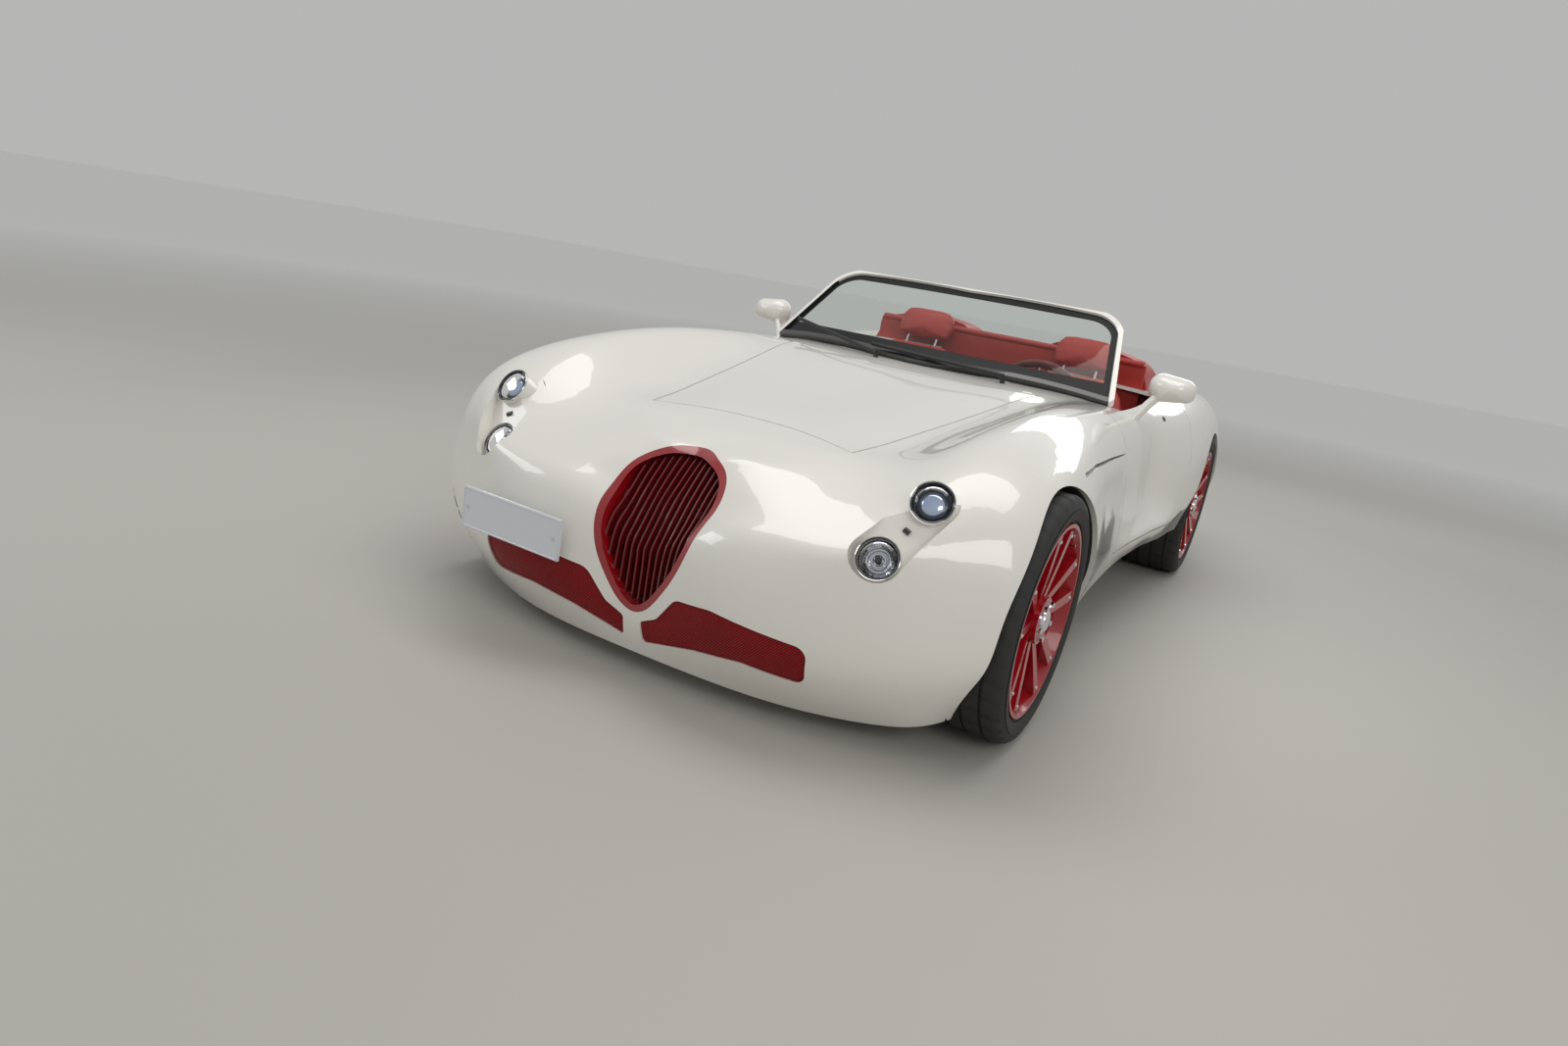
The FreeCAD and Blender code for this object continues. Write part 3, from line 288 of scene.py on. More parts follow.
def two_tone_leather(name, edge):
    """Red leather below a height and black above it."""
    finish = Finish(name, coat_weight=0.12, coat_roughness=0.35)
    x, y, z = finish.parts_of_place()
    top = step_over(z, edge, 0.0015)
    red = finish.between(finish.noise(5.0), LEATHER_SHADE, LEATHER_RED)
    finish.feed("Base Color", finish.between(top, red, (0.012, 0.011, 0.011, 1)))
    finish.feed("Roughness", finish.noise(6.0) * 0.16 + 0.42)
    finish.relief(step_over(finish.cells(GRAIN_CELLS), 0.0, CREASE_WIDTH), GRAIN_DEPTH)
    return finish.material


DASH_LEATHER = two_tone_leather("dash_leather", 0.742)
RED_LEATHER = leather("red_leather", LEATHER_RED, LEATHER_SHADE)
DARK_LEATHER = leather("dark_red_leather", (0.20, 0.010, 0.010, 1), (0.13, 0.007, 0.007, 1), 420.0)
RED_CARPET = carpet("red_carpet", (0.20, 0.012, 0.012, 1), (0.09, 0.005, 0.005, 1))
print("leathers and carpet ready")

# %% [markdown]
# ## Red mesh in the intakes
# The two low intakes are closed by a fine woven mesh, too fine to be worth modelling wire
# by wire. Two families of diagonal waves, one each way, cross like the wires do. Where
# both are low there is a hole, painted near black as the shade of the intake behind the
# mesh, and where either is high there is wire.

# %% Woven mesh
def woven_mesh(name, pitch):
    finish = Finish(name, specular_ior_level=0.3)
    x, y, z = finish.parts_of_place()
    per_metre = math.pi / pitch
    rising = ((x + z) * per_metre).maths("SINE").maths("ABSOLUTE")
    falling = ((x - z) * per_metre).maths("SINE").maths("ABSOLUTE")
    wire = step_over(rising.maths("MAXIMUM", falling), 0.86, 0.08)
    patch = finish.noise(9.0)
    bright = finish.between(patch, (0.42, 0.003, 0.009, 1), (0.60, 0.006, 0.014, 1))
    # The holes get painted shade: near black stands in for the shaded intake seen through the mesh.
    finish.feed("Base Color", finish.between(wire, (0.02, 0.0005, 0.0008, 1), bright))
    finish.feed("Roughness", 0.75 - wire * 0.45)
    finish.relief(wire, 0.0012)
    return finish.material


MESH_RED = woven_mesh("red_mesh", 0.0075)

# %% [markdown]
# ## Glass
# Clear glass passes light and reflects a little of it. The windscreen also has a black
# printed edge that hides the glue. It is worked out from the way up the glass and the
# distance from the middle: a straight side, a curved top and a rounded corner between
# them, the same form as the frame. A mix shader puts black wherever the edge is near.

# %% Lamp glass and windscreen glass
CLEAR_GLASS = Finish(
    "clear_glass", base_color=(0.95, 0.98, 1, 1), roughness=0.0, transmission_weight=1.0, ior=1.3).material


def tinted_glass(name, colour, edge_colour, metallic, transmission):
    """Glass whose tint deepens in soft patches, as moulded lenses do."""
    finish = Finish(
        name, roughness=0.06, metallic=metallic, transmission_weight=transmission, coat_weight=1.0)
    finish.feed("Base Color", finish.between(finish.noise(26.0), edge_colour, colour))
    return finish.material


BLUE_GLASS = tinted_glass("projector_glass", (0.80, 0.87, 1, 1), (0.42, 0.52, 0.78, 1), 0.75, 0.0)
RED_GLASS = tinted_glass("red_lens", (0.50, 0.004, 0.006, 1), (0.36, 0.003, 0.005, 1), 0.0, 0.3)

SCREEN_FOOT = Vector((0.694, -0.322, 0.797))
SCREEN_FOOT_MIDDLE = Vector((0, -0.470, 0.812))
SCREEN_TOP = Vector((0.596, 0.017, 1.100))
SCREEN_TOP_MIDDLE = Vector((0, -0.040, 1.102))
SCREEN_RISE = (SCREEN_TOP_MIDDLE - SCREEN_FOOT_MIDDLE).normalized()
SCREEN_CORNER = 0.13
SCREEN_FRAME = 0.022


def up_the_screen(point):
    return (point - SCREEN_FOOT_MIDDLE).dot(SCREEN_RISE)


def screen_reach(finish):
    """Distance outside the windscreen's outer edge, below zero inside it, and the rise up the glass."""
    x, y, z = finish.parts_of_place()
    rise = (y - SCREEN_FOOT_MIDDLE.y) * SCREEN_RISE.y + (z - SCREEN_FOOT_MIDDLE.z) * SCREEN_RISE.z
    across = x.maths("ABSOLUTE")
    foot = Vector((SCREEN_FOOT.x, up_the_screen(SCREEN_FOOT)))
    top = Vector((SCREEN_TOP.x, up_the_screen(SCREEN_TOP)))
    side_out = Vector((top.y - foot.y, foot.x - top.x)).normalized()
    middle_rise = up_the_screen(SCREEN_TOP_MIDDLE)
    top_out = Vector((-2 * (top.y - middle_rise), top.x)).normalized()
    beside = (across - foot.x) * side_out.x + (rise - foot.y) * side_out.y + SCREEN_CORNER
    top_line = across * across * ((top.y - middle_rise) / top.x ** 2) + middle_rise
    above = (rise - top_line) * top_out.y + SCREEN_CORNER
    lean = side_out.dot(top_out)
    from_side = beside - above * lean
    from_top = above - beside * lean
    inside_corner = from_side.maths("GREATER_THAN", 0.0) * from_top.maths("GREATER_THAN", 0.0)
    square = (beside * beside + above * above - beside * above * (2 * lean)) * (1 / (1 - lean * lean))
    round_off = square.maths("MAXIMUM", 0.0).maths("SQRT") * inside_corner
    reach = beside.maths("MAXIMUM", above).maths("MAXIMUM", round_off) - SCREEN_CORNER
    return reach, rise - across * across * (foot.y / foot.x ** 2)


def bordered_glass(border, base_border):
    finish = Finish("windscreen_glass", base_color=(0.90, 0.96, 0.93, 1), roughness=0.0,
                    transmission_weight=1.0, ior=1.25)
    reach, above_foot = screen_reach(finish)
    edge = step_over(reach, -(SCREEN_FRAME + border), 0.0015)
    foot = 1.0 - step_over(above_foot, base_border, 0.0015)
    black = finish.node("ShaderNodeBsdfPrincipled", {}, {
        "Base Color": (0.005, 0.005, 0.006, 1), "Roughness": 0.3, "Specular IOR Level": 0.25}, "BSDF")
    glass = Wire(finish.tree, finish.shader.outputs["BSDF"])
    printed = edge.maths("MAXIMUM", foot)
    mixed = finish.node("ShaderNodeMixShader", {}, {0: printed, 1: glass, 2: black})
    plug(finish.tree, finish.tree.nodes["Material Output"].inputs["Surface"], mixed)
    return finish.material


def sealed_frame(white_width):
    """Lacquer outside and a black rubber lip along the glass."""
    finish = Finish("windscreen_frame_paint", coat_weight=1.0, coat_roughness=0.025, coat_ior=1.52)
    reach, above_foot = screen_reach(finish)
    painted = step_over(reach, -white_width, 0.0008)
    finish.feed("Base Color", finish.between(painted, (0.006, 0.006, 0.007, 1), WHITE))
    finish.feed("Roughness", 0.45 - painted * 0.13)
    finish.relief(finish.noise(320.0, 1.0), 0.00002, 0.5)
    return finish.material


SCREEN_GLASS = bordered_glass(0.022, 0.105)
FRAME_PAINT = sealed_frame(0.019)

# %% [markdown]
# ## Dressing the CAD nodes
# Every CAD node whose shape is right keeps its mesh and gets its finish here. Tyres, lamp
# glass, seats, mirrors and the steering wheel are replaced further down.

# %% Finishes for the CAD nodes
DRESSED = (
    (PAINT, "front_body rear_body sills bonnet boot_lid door_left door_right lamp_housings hinges cowl"),
    (FRAME_PAINT, "windscreen_frame"), (SCREEN_GLASS, "windscreen_glass"), (RED_GLASS, "tail_lamps"),
    (RED_GLOSS, "grille_surround"), (FIN_RED, "grille_fins"), (MESH_RED, "intake_meshes"),
    (PLATE_PAINT, "number_plate"), (CHROME, "exhaust"),
    (BLACK_TRIM, "rear_valance wipers steering_column"),
    (UNDERBODY, "floor_tub luggage_tub wheelhouse_liners"),
    (CAST_ALLOY, "engine radiator rear_hubs final_drive knuckle_left knuckle_right"),
    (STEEL, "front_suspension rear_suspension"),
    (DASH_LEATHER, "dashboard"), (DARK_LEATHER, "centre_console"), (RED_LEATHER, "rear_deck"),
    (WHEEL_PAINT["front"], "rim_front_left rim_front_right"),
    (WHEEL_PAINT["rear"], "rim_rear_left rim_rear_right"))


def give(made, material):
    """Makes a material the only one on a piece."""
    made.data.materials.clear()
    made.data.materials.append(material)


for material, node_names in DRESSED:
    for node_name in node_names.split():
        give(NODES[node_name], material)
print("finishes given:", len(DRESSED))

# %% [markdown]
# ## Tools for making pieces
# Most small pieces are either turned, like a lamp bezel, or drawn along a line, like a
# seam's piping. Both helpers return plain lists of points and faces. A third helper makes
# the object, gives it its finish and says which body it rides on.


def piece(name, shape, material, body="body"):
    points, faces = shape
    mesh = bpy.data.meshes.new(name)
    mesh.from_pydata([tuple(p) for p in points], [], faces)
    mesh.validate()
    mesh.shade_smooth()
    mesh.set_sharp_from_angle(angle=math.radians(38))
    made = bpy.data.objects.new(name, mesh)
    bpy.context.scene.collection.objects.link(made)
    give(made, material)
    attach(made, body)
    return made


def joined(shapes):
    """Several shapes as one."""
    points, faces = [], []
    for more_points, more_faces in shapes:
        start = len(points)
        points += list(more_points)
        faces += [tuple(i + start for i in face) for face in more_faces]
    return points, faces


def flipped(shape):
    """The mirror image on the car's other side."""
    points, faces = shape
    return [Vector((-p[0], p[1], p[2])) for p in points], [tuple(reversed(face)) for face in faces]


def both(shape):
    return joined([shape, flipped(shape)])


# %% Turned and drawn shapes
def net(rows, columns, ring_of_rows, ring_of_columns):
    """Faces between rows of points. A ring joins its last row or column to its first."""
    faces = []
    for row in range(rows if ring_of_rows else rows - 1):
        here, there = row * columns, (row + 1) % rows * columns
        for column in range(columns if ring_of_columns else columns - 1):
            after = (column + 1) % columns
            faces.append((here + column, here + after, there + after, there + column))
    return faces


def tube(points, columns, closed=False):
    """Rows of points that each go round, with a face on both ends unless the rows form a ring."""
    faces = net(len(points) // columns, columns, closed, True)
    if not closed:
        faces.append(tuple(reversed(range(columns))))
        faces.append(tuple(range(len(points) - columns, len(points))))
    return points, faces


def turned(profile, centre, axis, segments=64):
    """Turns a profile of (along, radius) pairs about an axis through a centre."""
    axis = Vector(axis).normalized()
    side = axis.orthogonal().normalized()
    other = axis.cross(side)
    points = []
    for step in range(segments):
        angle = 2 * math.pi * step / segments
        out = side * math.cos(angle) + other * math.sin(angle)
        points += [Vector(centre) + axis * along + out * radius for along, radius in profile]
    return points, net(segments, len(profile), True, False)


def drawn(path, radius, closed=False, sides=10, flat=1.0):
    """Draws a round or flattened bead along a path of points."""
    path = [Vector(p) for p in path]
    points = []
    last = len(path) - 1
    side = None
    for index, point in enumerate(path):
        before = path[index - 1] if index or closed else point
        after = path[(index + 1) % len(path)] if index < last or closed else point
        along = (after - before).normalized()
        side = along.orthogonal() if side is None else side - along * side.dot(along)
        side.normalize()
        other = along.cross(side)
        for step in range(sides):
            angle = 2 * math.pi * step / sides
            reach = side * math.cos(angle) + other * (flat * math.sin(angle))
            points.append(point + reach * radius)
    return tube(points, sides, closed)


def curve_through(points, steps=8, closed=False):
    """Smooth line through a few points."""
    points = [Vector(p) for p in points]
    count = len(points)
    line = []
    for index in range(count if closed else count - 1):
        near = range(index - 1, index + 3)
        p = [points[k % count if closed else min(max(k, 0), count - 1)] for k in near]
        for step in range(steps):
            t = step / steps
            line.append(0.5 * (
                2 * p[1] + (p[2] - p[0]) * t + (2 * p[0] - 5 * p[1] + 4 * p[2] - p[3]) * t * t
                + (3 * p[1] - p[0] - 3 * p[2] + p[3]) * t * t * t))
    if not closed:
        line.append(points[-1])
    return line


# %% Softened blocks
def soft_block(low, high, corner, cuts=6):
    """Block with rounded edges: points of a divided cube pushed out from an inner block."""
    low, high = Vector(low), Vector(high)
    middle, half = (low + high) / 2, (high - low) / 2
    points, faces, known = [], [], {}

    def index_of(p):
        key = tuple(round(c, 5) for c in p)
        if key not in known:
            known[key] = len(points)
            outer = Vector([p[i] * half[i] for i in range(3)])
            inner = Vector([max(corner - half[i], min(half[i] - corner, outer[i])) for i in range(3)])
            away = outer - inner
            if away.length > 1e-9:
                away = away.normalized() * corner
            points.append(middle + inner + away)
        return known[key]

    marks = [-1 + 2 * k / cuts for k in range(cuts + 1)]
    for axis in range(3):
        u, v = (axis + 1) % 3, (axis + 2) % 3
        for sign in (-1, 1):
            for a in range(cuts):
                for b in range(cuts):
                    corners = []
                    for da, db in ((0, 0), (1, 0), (1, 1), (0, 1)):
                        p = [0, 0, 0]
                        p[axis], p[u], p[v] = sign, marks[a + da], marks[b + db]
                        corners.append(index_of(p))
                    faces.append(tuple(corners) if sign > 0 else tuple(reversed(corners)))
    return points, faces


print("makers ready")

# %% [markdown]
# ## Tyres
# A tyre is turned about its axle, so one ring of profile points goes round in many small
# steps. Its tread has four grooves right round, which are dips in the profile, and short
# cross grooves, which are dips in every sixth step. The sidewall swells past the rim and
# ends in the bead that sits on it.

# %% Tyre profile and tread
TYRE_SEGMENTS = 216
RING_GROOVE = 0.0065
CROSS_GROOVE = 0.0045


def tyre_profile(radius, width, rim_radius):
    half = width / 2
    rows = []
    for share in (-0.80, -0.66, -0.60, -0.585, -0.545, -0.53, -0.36, -0.23, -0.215, -0.165, -0.15, 0.0):
        groove = share in (-0.585, -0.545, -0.215, -0.165)
        depth = RING_GROOVE if groove else 0.0
        rows.append((share * half, radius - depth - 0.003 * abs(share) ** 3, share))
    shoulder = [(-0.88 * half, radius - 0.0055, -0.9), (-0.945 * half, radius - 0.013, -0.95)]
    wall = [
        (-half + 0.0015, radius - 0.034, 0), (-half, (radius + rim_radius) / 2 + 0.004, 0),
        (-half + 0.003, rim_radius + 0.016, 0), (-half + 0.008, rim_radius + 0.009, 0),
        (-half + 0.0125, rim_radius + 0.0085, 0), (-half + 0.0135, rim_radius + 0.0015, 0)]
    left = list(reversed(wall)) + list(reversed(shoulder)) + rows
    right = [(-a, r, s) for a, r, s in reversed(left[:-1])]
    return left + right


def tyre_shape(centre, radius, width, rim_radius):
    profile = tyre_profile(radius, width, rim_radius)
    points = []
    for step in range(TYRE_SEGMENTS):
        angle = 2 * math.pi * step / TYRE_SEGMENTS
        for across, r, share in profile:
            slanted = (step + round(abs(share) * 5)) % 6
            cross = CROSS_GROOVE if slanted == 0 and 0.23 < abs(share) < 0.97 else 0.0
            spoke = Vector((0, math.sin(angle), math.cos(angle))) * (r - cross)
            points.append(Vector(centre) + Vector((across, 0, 0)) + spoke)
    return points, [(a, d, c, b) for a, b, c, d in net(TYRE_SEGMENTS, len(profile), True, False)]


# %% Four tyres
RIM_RADIUS = 0.256
for end, axle in AXLES.items():
    skin = rubber("rubber_" + end, axle, RIM_RADIUS + 0.01, axle["radius"] - 0.02)
    for side, sign in (("left", 1), ("right", -1)):
        label = end + "_" + side
        centre = (sign * axle["x"], axle["y"], axle["radius"])
        shape = tyre_shape(centre, axle["radius"] - 0.0005, axle["width"] - 0.001, RIM_RADIUS)
        tyre = piece("tread_" + label, shape, skin, "wheel_" + label)
        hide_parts("tyre_" + label)
print("tyre faces:", len(tyre.data.polygons))

# %% [markdown]
# ## Hub caps, bolts and valves
# Each wheel has a blank centre cap, five wheel bolts, a small bolt at the end of each
# spoke and a valve. All of them turn with the wheel, so they ride on its body. A bolt is
# turned with six sides, which makes its head a hexagon.

# %% Wheel trim
HUB_STEP = 0.018
SPOKE_END_STEP = 0.0135


def around(centre, radius, degrees):
    angle = math.radians(degrees)
    return centre + Vector((0, math.sin(angle), math.cos(angle))) * radius


def wheel_trim(axle, sign):
    out = Vector((sign, 0, 0))
    middle = Vector((sign * axle["x"], axle["y"], axle["radius"]))
    hub = middle + out * (axle["width"] / 2 - HUB_STEP)
    rim = middle + out * (axle["width"] / 2 - SPOKE_END_STEP)
    cap = [
        (-0.002, 0.031), (0.004, 0.0305), (0.009, 0.028), (0.0115, 0.022), (0.0105, 0.019), (0.0125, 0.010),
        (0.013, 0.0)]
    bolt = [
        (-0.002, 0.0105), (0.002, 0.0105), (0.002, 0.0085), (0.010, 0.0085), (0.012, 0.0065), (0.012, 0.0)]
    stud = [(-0.002, 0.0055), (0.0035, 0.0055), (0.005, 0.0042), (0.005, 0.0)]
    shapes = [turned(cap, hub, out, 40)]
    for index in range(5):
        shapes.append(turned(bolt, around(hub, 0.047, 72 * index + 36), out, 6))
        for side in (-13.6, 13.6):
            shapes.append(turned(stud, around(rim, 0.225, 72 * index + side), out, 6))
    valve = around(rim, 0.222, 36) - out * 0.020
    shapes.append(drawn([valve, valve + out * 0.022], 0.0035))
    return joined(shapes)


for end, axle in AXLES.items():
    for side, sign in (("left", 1), ("right", -1)):
        label = end + "_" + side
        piece("wheel_trim_" + label, wheel_trim(axle, sign), CHROME, "wheel_" + label)

# %% [markdown]
# ## Lamps
# Two round lamps stand in each oblong pod. The upper one is a projector: a pale blue-white
# lens in a deep black ring. The lower one has a bright bowl made of flat facets, with
# rings and a shaded bulb. Clear domes close both. All are turned about one slanting axis,
# and the right side is the mirror image of the left.

# %% Where the lamps are
LAMP_AXIS = Vector((0.16, -0.84, 0.52)).normalized()
LAMP_UPPER = Vector((0.644, -1.824, 0.608))
LAMP_LOWER = Vector((0.586, -1.948, 0.493))
LAMP_STEP = LAMP_UPPER - LAMP_LOWER
POD_MIDDLE = (LAMP_UPPER + LAMP_LOWER) / 2
POD_LINE = (LAMP_STEP - LAMP_AXIS * LAMP_STEP.dot(LAMP_AXIS)).normalized()
UPPER = POD_MIDDLE + POD_LINE * (LAMP_STEP.length / 2)
LOWER = POD_MIDDLE - POD_LINE * (LAMP_STEP.length / 2)

# %% Lamp profiles, as (along the axis, radius)
BLACK_RING = [
    (-0.001, 0.0520), (0.0032, 0.0512), (0.0045, 0.0492), (0.0030, 0.0465), (-0.004, 0.0448),
    (-0.012, 0.0410), (-0.018, 0.0350), (-0.021, 0.0330)]
THIN_RING = [(-0.001, 0.0532), (0.0028, 0.0530), (0.0040, 0.0520), (0.0034, 0.0508), (0.0010, 0.0505)]
LOWER_RING = [(-0.001, 0.0500), (0.0030, 0.0495), (0.0028, 0.0470), (-0.002, 0.0458), (-0.010, 0.0452)]
DOME = [
    (-0.006, 0.0450), (-0.003, 0.0442), (0.003, 0.0390), (0.0068, 0.0290),
    (0.0092, 0.015), (0.0100, 0.0)]
DOME_BACK = [(along - 0.0022, max(radius - 0.001, 0.0)) for along, radius in reversed(DOME)]
EYE = [
    (-0.021, 0.0340), (-0.013, 0.0325), (-0.0065, 0.0265), (-0.0028, 0.0170),
    (-0.0012, 0.008), (-0.001, 0.0)]
BOWL = [
    (-0.009, 0.0452), (-0.016, 0.0410), (-0.023, 0.0320), (-0.029, 0.0220),
    (-0.033, 0.0120), (-0.034, 0.0)]
BOWL_RING = [(-0.026, 0.0290), (-0.0155, 0.0275), (-0.0150, 0.0255), (-0.0220, 0.0245)]
INNER_RING = [(-0.030, 0.0185), (-0.0150, 0.0165), (-0.0148, 0.0145), (-0.0240, 0.0140)]
BULB_SHADE = [(-0.032, 0.0075), (-0.0140, 0.0085), (-0.0110, 0.0060), (-0.0105, 0.0)]


def lamp(profile, place, segments=56):
    return both(turned(profile, place, LAMP_AXIS, segments))


black_rings = joined([lamp(BLACK_RING, UPPER), lamp(LOWER_RING, LOWER), lamp(BULB_SHADE, LOWER, 20)])
bright_rings = joined([lamp(THIN_RING, UPPER), lamp(THIN_RING, LOWER)])
bowls = joined([lamp(BOWL, LOWER, 14), lamp(BOWL_RING, LOWER, 28), lamp(INNER_RING, LOWER, 14)])
piece("lamp_rings_black", black_rings, GLOSS_BLACK)
piece("lamp_rings_bright", bright_rings, CHROME)
facets = piece("lamp_bowls", bowls, CHROME)
facets.data.shade_flat()
piece("lamp_eyes", lamp(EYE, UPPER), BLUE_GLASS)
dome_shapes = joined([lamp(DOME + DOME_BACK, place) for place in (UPPER, LOWER)])
domes = piece("lamp_domes", dome_shapes, CLEAR_GLASS)
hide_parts("lamp_lenses")
POD_SIDE = LAMP_AXIS.cross(POD_LINE)
washer = POD_MIDDLE + POD_LINE * 0.004 - LAMP_AXIS * 0.0155
oval = drawn([washer - POD_SIDE * 0.008, washer + POD_SIDE * 0.008], 0.0075)
piece("lamp_washers", both(oval), GLOSS_BLACK)
print("lamp spacing:", round(LAMP_STEP.length, 4))

# %% [markdown]
# ## Fins of the grille
# The CAD fins are flat plates. On the real grille each fin has a rounded, polished front
# edge, and that edge catches the light. Here rays are shot at the front of each fin, one
# above the other, and a bead is drawn through the points they hit.

# %% Rounded fin edges
FIN_COUNT = 13
GRILLE_HALF = 0.154
GRILLE_BORDER = 0.018
FIN_PITCH = 2 * (GRILLE_HALF - GRILLE_BORDER) / (FIN_COUNT + 1)
FIN_FOOT = 0.195
FIN_STEP = 0.0068


def first_hit(node, start, direction):
    """Where a ray first meets a node's mesh and the surface's direction there, or nothing."""
    hit, spot, normal, face = NODES[node].ray_cast(Vector(start), Vector(direction))
    return (spot, normal) if hit else (None, None)


def fin_edge(x):
    line = []
    for step in range(60):
        spot, normal = first_hit("grille_fins", (x, -2.4, FIN_FOOT + FIN_STEP * step), (0, 1, 0))
        if spot is not None:
            line.append(spot + Vector((0, 0.0012, 0)))
    return drawn(line[1:-1], 0.0031, False, 8)


edges = [fin_edge((index - (FIN_COUNT - 1) / 2) * FIN_PITCH) for index in range(FIN_COUNT)]
piece("fin_edges", joined(edges), FIN_RED)
print("fin edges:", len(edges))

# %% [markdown]
# ## Seats
# A sports seat is a foam form under tight leather: a cushion, a back with raised sides
# and a small headrest. Each starts as a smooth closed form made from a table of widths
# and thicknesses. A short cloth simulation with a little air pressure then rounds it as
# stuffing would, and sewn channels are pressed in after that.

# %% Pads from sections
SEAT_X = 0.37
PAD_STEPS = 56


def pad_shape(sections):
    """Closed form. Each section is (centre, outward direction, half width, thickness, side rise)."""
    points = []
    for centre, out, half_width, thickness, rise in sections:
        centre, out = Vector(centre), Vector(out).normalized()
        for step in range(PAD_STEPS):
            angle = 2 * math.pi * step / PAD_STEPS
            c, s = math.cos(angle), math.sin(angle)
            wide = math.copysign(abs(c) ** 0.55, c) * half_width
            thick = math.copysign(abs(s) ** 0.55, s) * thickness / 2
            lift = rise * max(0.0, (abs(wide) / half_width - 0.60) / 0.40) ** 1.3 if s > -0.2 else 0.0
            points.append(centre + Vector((wide, 0, 0)) + out * (thick + lift))
    return tube(points, PAD_STEPS)


CUSHION = [
    ((SEAT_X, y, z), (0,) + out, w, d, rise)
    for y, z, out, w, d, rise in (
        (-0.185, 0.300, (-0.5, 0.86), 0.205, 0.050, 0.000), (-0.180, 0.310, (-0.3, 0.95), 0.228, 0.110, 0.020),
        (-0.120, 0.315, (-0.1, 1), 0.236, 0.140, 0.040), (0.000, 0.308, (0, 1), 0.240, 0.130, 0.052),
        (0.120, 0.298, (0, 1), 0.240, 0.118, 0.052), (0.220, 0.290, (0, 1), 0.236, 0.105, 0.040),
        (0.290, 0.286, (0.1, 1), 0.225, 0.085, 0.015), (0.310, 0.286, (0.3, 1), 0.200, 0.045, 0.000))]
BACK_LEAN = Vector((0, 0.372, 0.928))
BACK_FACE = Vector((0, -0.928, 0.372))
BACK_FOOT = Vector((SEAT_X, 0.252, 0.352))
BACK = [
    (BACK_FOOT + BACK_LEAN * t, BACK_FACE, w, d, rise)
    for t, w, d, rise in (
        (0.000, 0.200, 0.050, 0.0), (0.012, 0.226, 0.090, 0.020), (0.080, 0.240, 0.100, 0.055),
        (0.180, 0.244, 0.100, 0.066), (0.290, 0.243, 0.098, 0.064), (0.380, 0.236, 0.092, 0.050),
        (0.450, 0.214, 0.082, 0.028), (0.500, 0.178, 0.070, 0.010), (0.528, 0.130, 0.040, 0.0))]
HEAD_FOOT = Vector((SEAT_X, 0.466, 0.868))
HEAD = [
    (HEAD_FOOT + BACK_LEAN * t, BACK_FACE, w, d, 0.0)
    for t, w, d in (
        (0.000, 0.095, 0.035), (0.008, 0.118, 0.062), (0.050, 0.128, 0.074), (0.095, 0.124, 0.070),
        (0.122, 0.105, 0.056), (0.132, 0.070, 0.028))]


# %% Plumping and sewing
CLOTH_FRAMES = 20
SEWN_SIDE = 0.3


def plumped(made, voxel, cap):
    """Rounds a pad with a short cloth simulation and applies the result."""
    remesh = made.modifiers.new("remesh", "REMESH")
    remesh.mode, remesh.voxel_size = "VOXEL", voxel
    settle(made)
    start = [v.co.copy() for v in made.data.vertices]
    cloth = made.modifiers.new("cloth", "CLOTH")
    cloth.settings.quality = 4
    cloth.settings.use_pressure = True
    cloth.settings.uniform_pressure_force = 4.0
    cloth.settings.effector_weights.gravity = 0.0
    cloth.settings.tension_stiffness = 20
    for frame_number in range(1, CLOTH_FRAMES + 1):
        bpy.context.scene.frame_set(frame_number)
    settle(made)
    bpy.context.scene.frame_set(1)
    for vertex, first in zip(made.data.vertices, start):
        moved = vertex.co - first
        if moved.length > cap:
            vertex.co = first + moved.normalized() * cap
    return made


def settle(made):
    """Writes what the modifiers give into the mesh."""
    shown = made.evaluated_get(bpy.context.evaluated_depsgraph_get())
    fresh = bpy.data.meshes.new_from_object(shown)
    made.modifiers.clear()
    made.data = fresh
    made.data.shade_smooth()


def sewn(made, lines, face, depth, width, border):
    """Presses cross channels and two long seams into the side that looks along a direction.

    The normals are read first: reading one after a point has moved works out all of them anew.
    """
    normals = [v.normal.copy() for v in made.data.vertices]
    for vertex, normal in zip(made.data.vertices, normals):
        if normal.dot(face) < SEWN_SIDE:
            continue
        across = abs(vertex.co.x - SEAT_X)
        press = math.exp(-((across - border) / width) ** 2)
        for axis, place in lines if across < border - width else ():
            press = max(press, math.exp(-((axis.dot(vertex.co) - place) / width) ** 2))
        vertex.co -= face * (depth * press)


# %% Both seats
PADS = {
    "cushion": (CUSHION, 0.006, 0.012, Vector((0, 0, 1)), [
        (Vector((0, 1, 0)), y) for y in (-0.11, -0.04, 0.03, 0.10, 0.17)]),
    "back": (BACK, 0.006, 0.012, BACK_FACE, [
        (BACK_LEAN, BACK_LEAN.dot(BACK_FOOT) + t) for t in (0.10, 0.17, 0.24, 0.31, 0.38)]),
    "headrest": (HEAD, 0.006, 0.010, BACK_FACE, []),
}
for pad_name, (sections, voxel, cap, face, channels) in PADS.items():
    left = piece("seat_%s_left" % pad_name, pad_shape(sections), RED_LEATHER)
    plumped(left, voxel, cap)
    if channels:
        sewn(left, channels, face, 0.007, 0.006, 0.150)
    smooth = left.modifiers.new("smooth", "SUBSURF")
    smooth.levels = smooth.render_levels = 1
    settle(left)
    spots = [v.co for v in left.data.vertices]
    faces = [tuple(p.vertices) for p in left.data.polygons]
    right = piece("seat_%s_right" % pad_name, flipped((spots, faces)), RED_LEATHER)
    give(left, RED_LEATHER)
    for made, node in ((left, "seat_left"), (right, "seat_right")):
        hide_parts(node)
    print(pad_name, "faces:", len(left.data.polygons))

# %% Seat piping, posts and rails
def by_seat(x, y, z):
    """A point given from the seat's middle plane."""
    return Vector((SEAT_X + x, y, z))


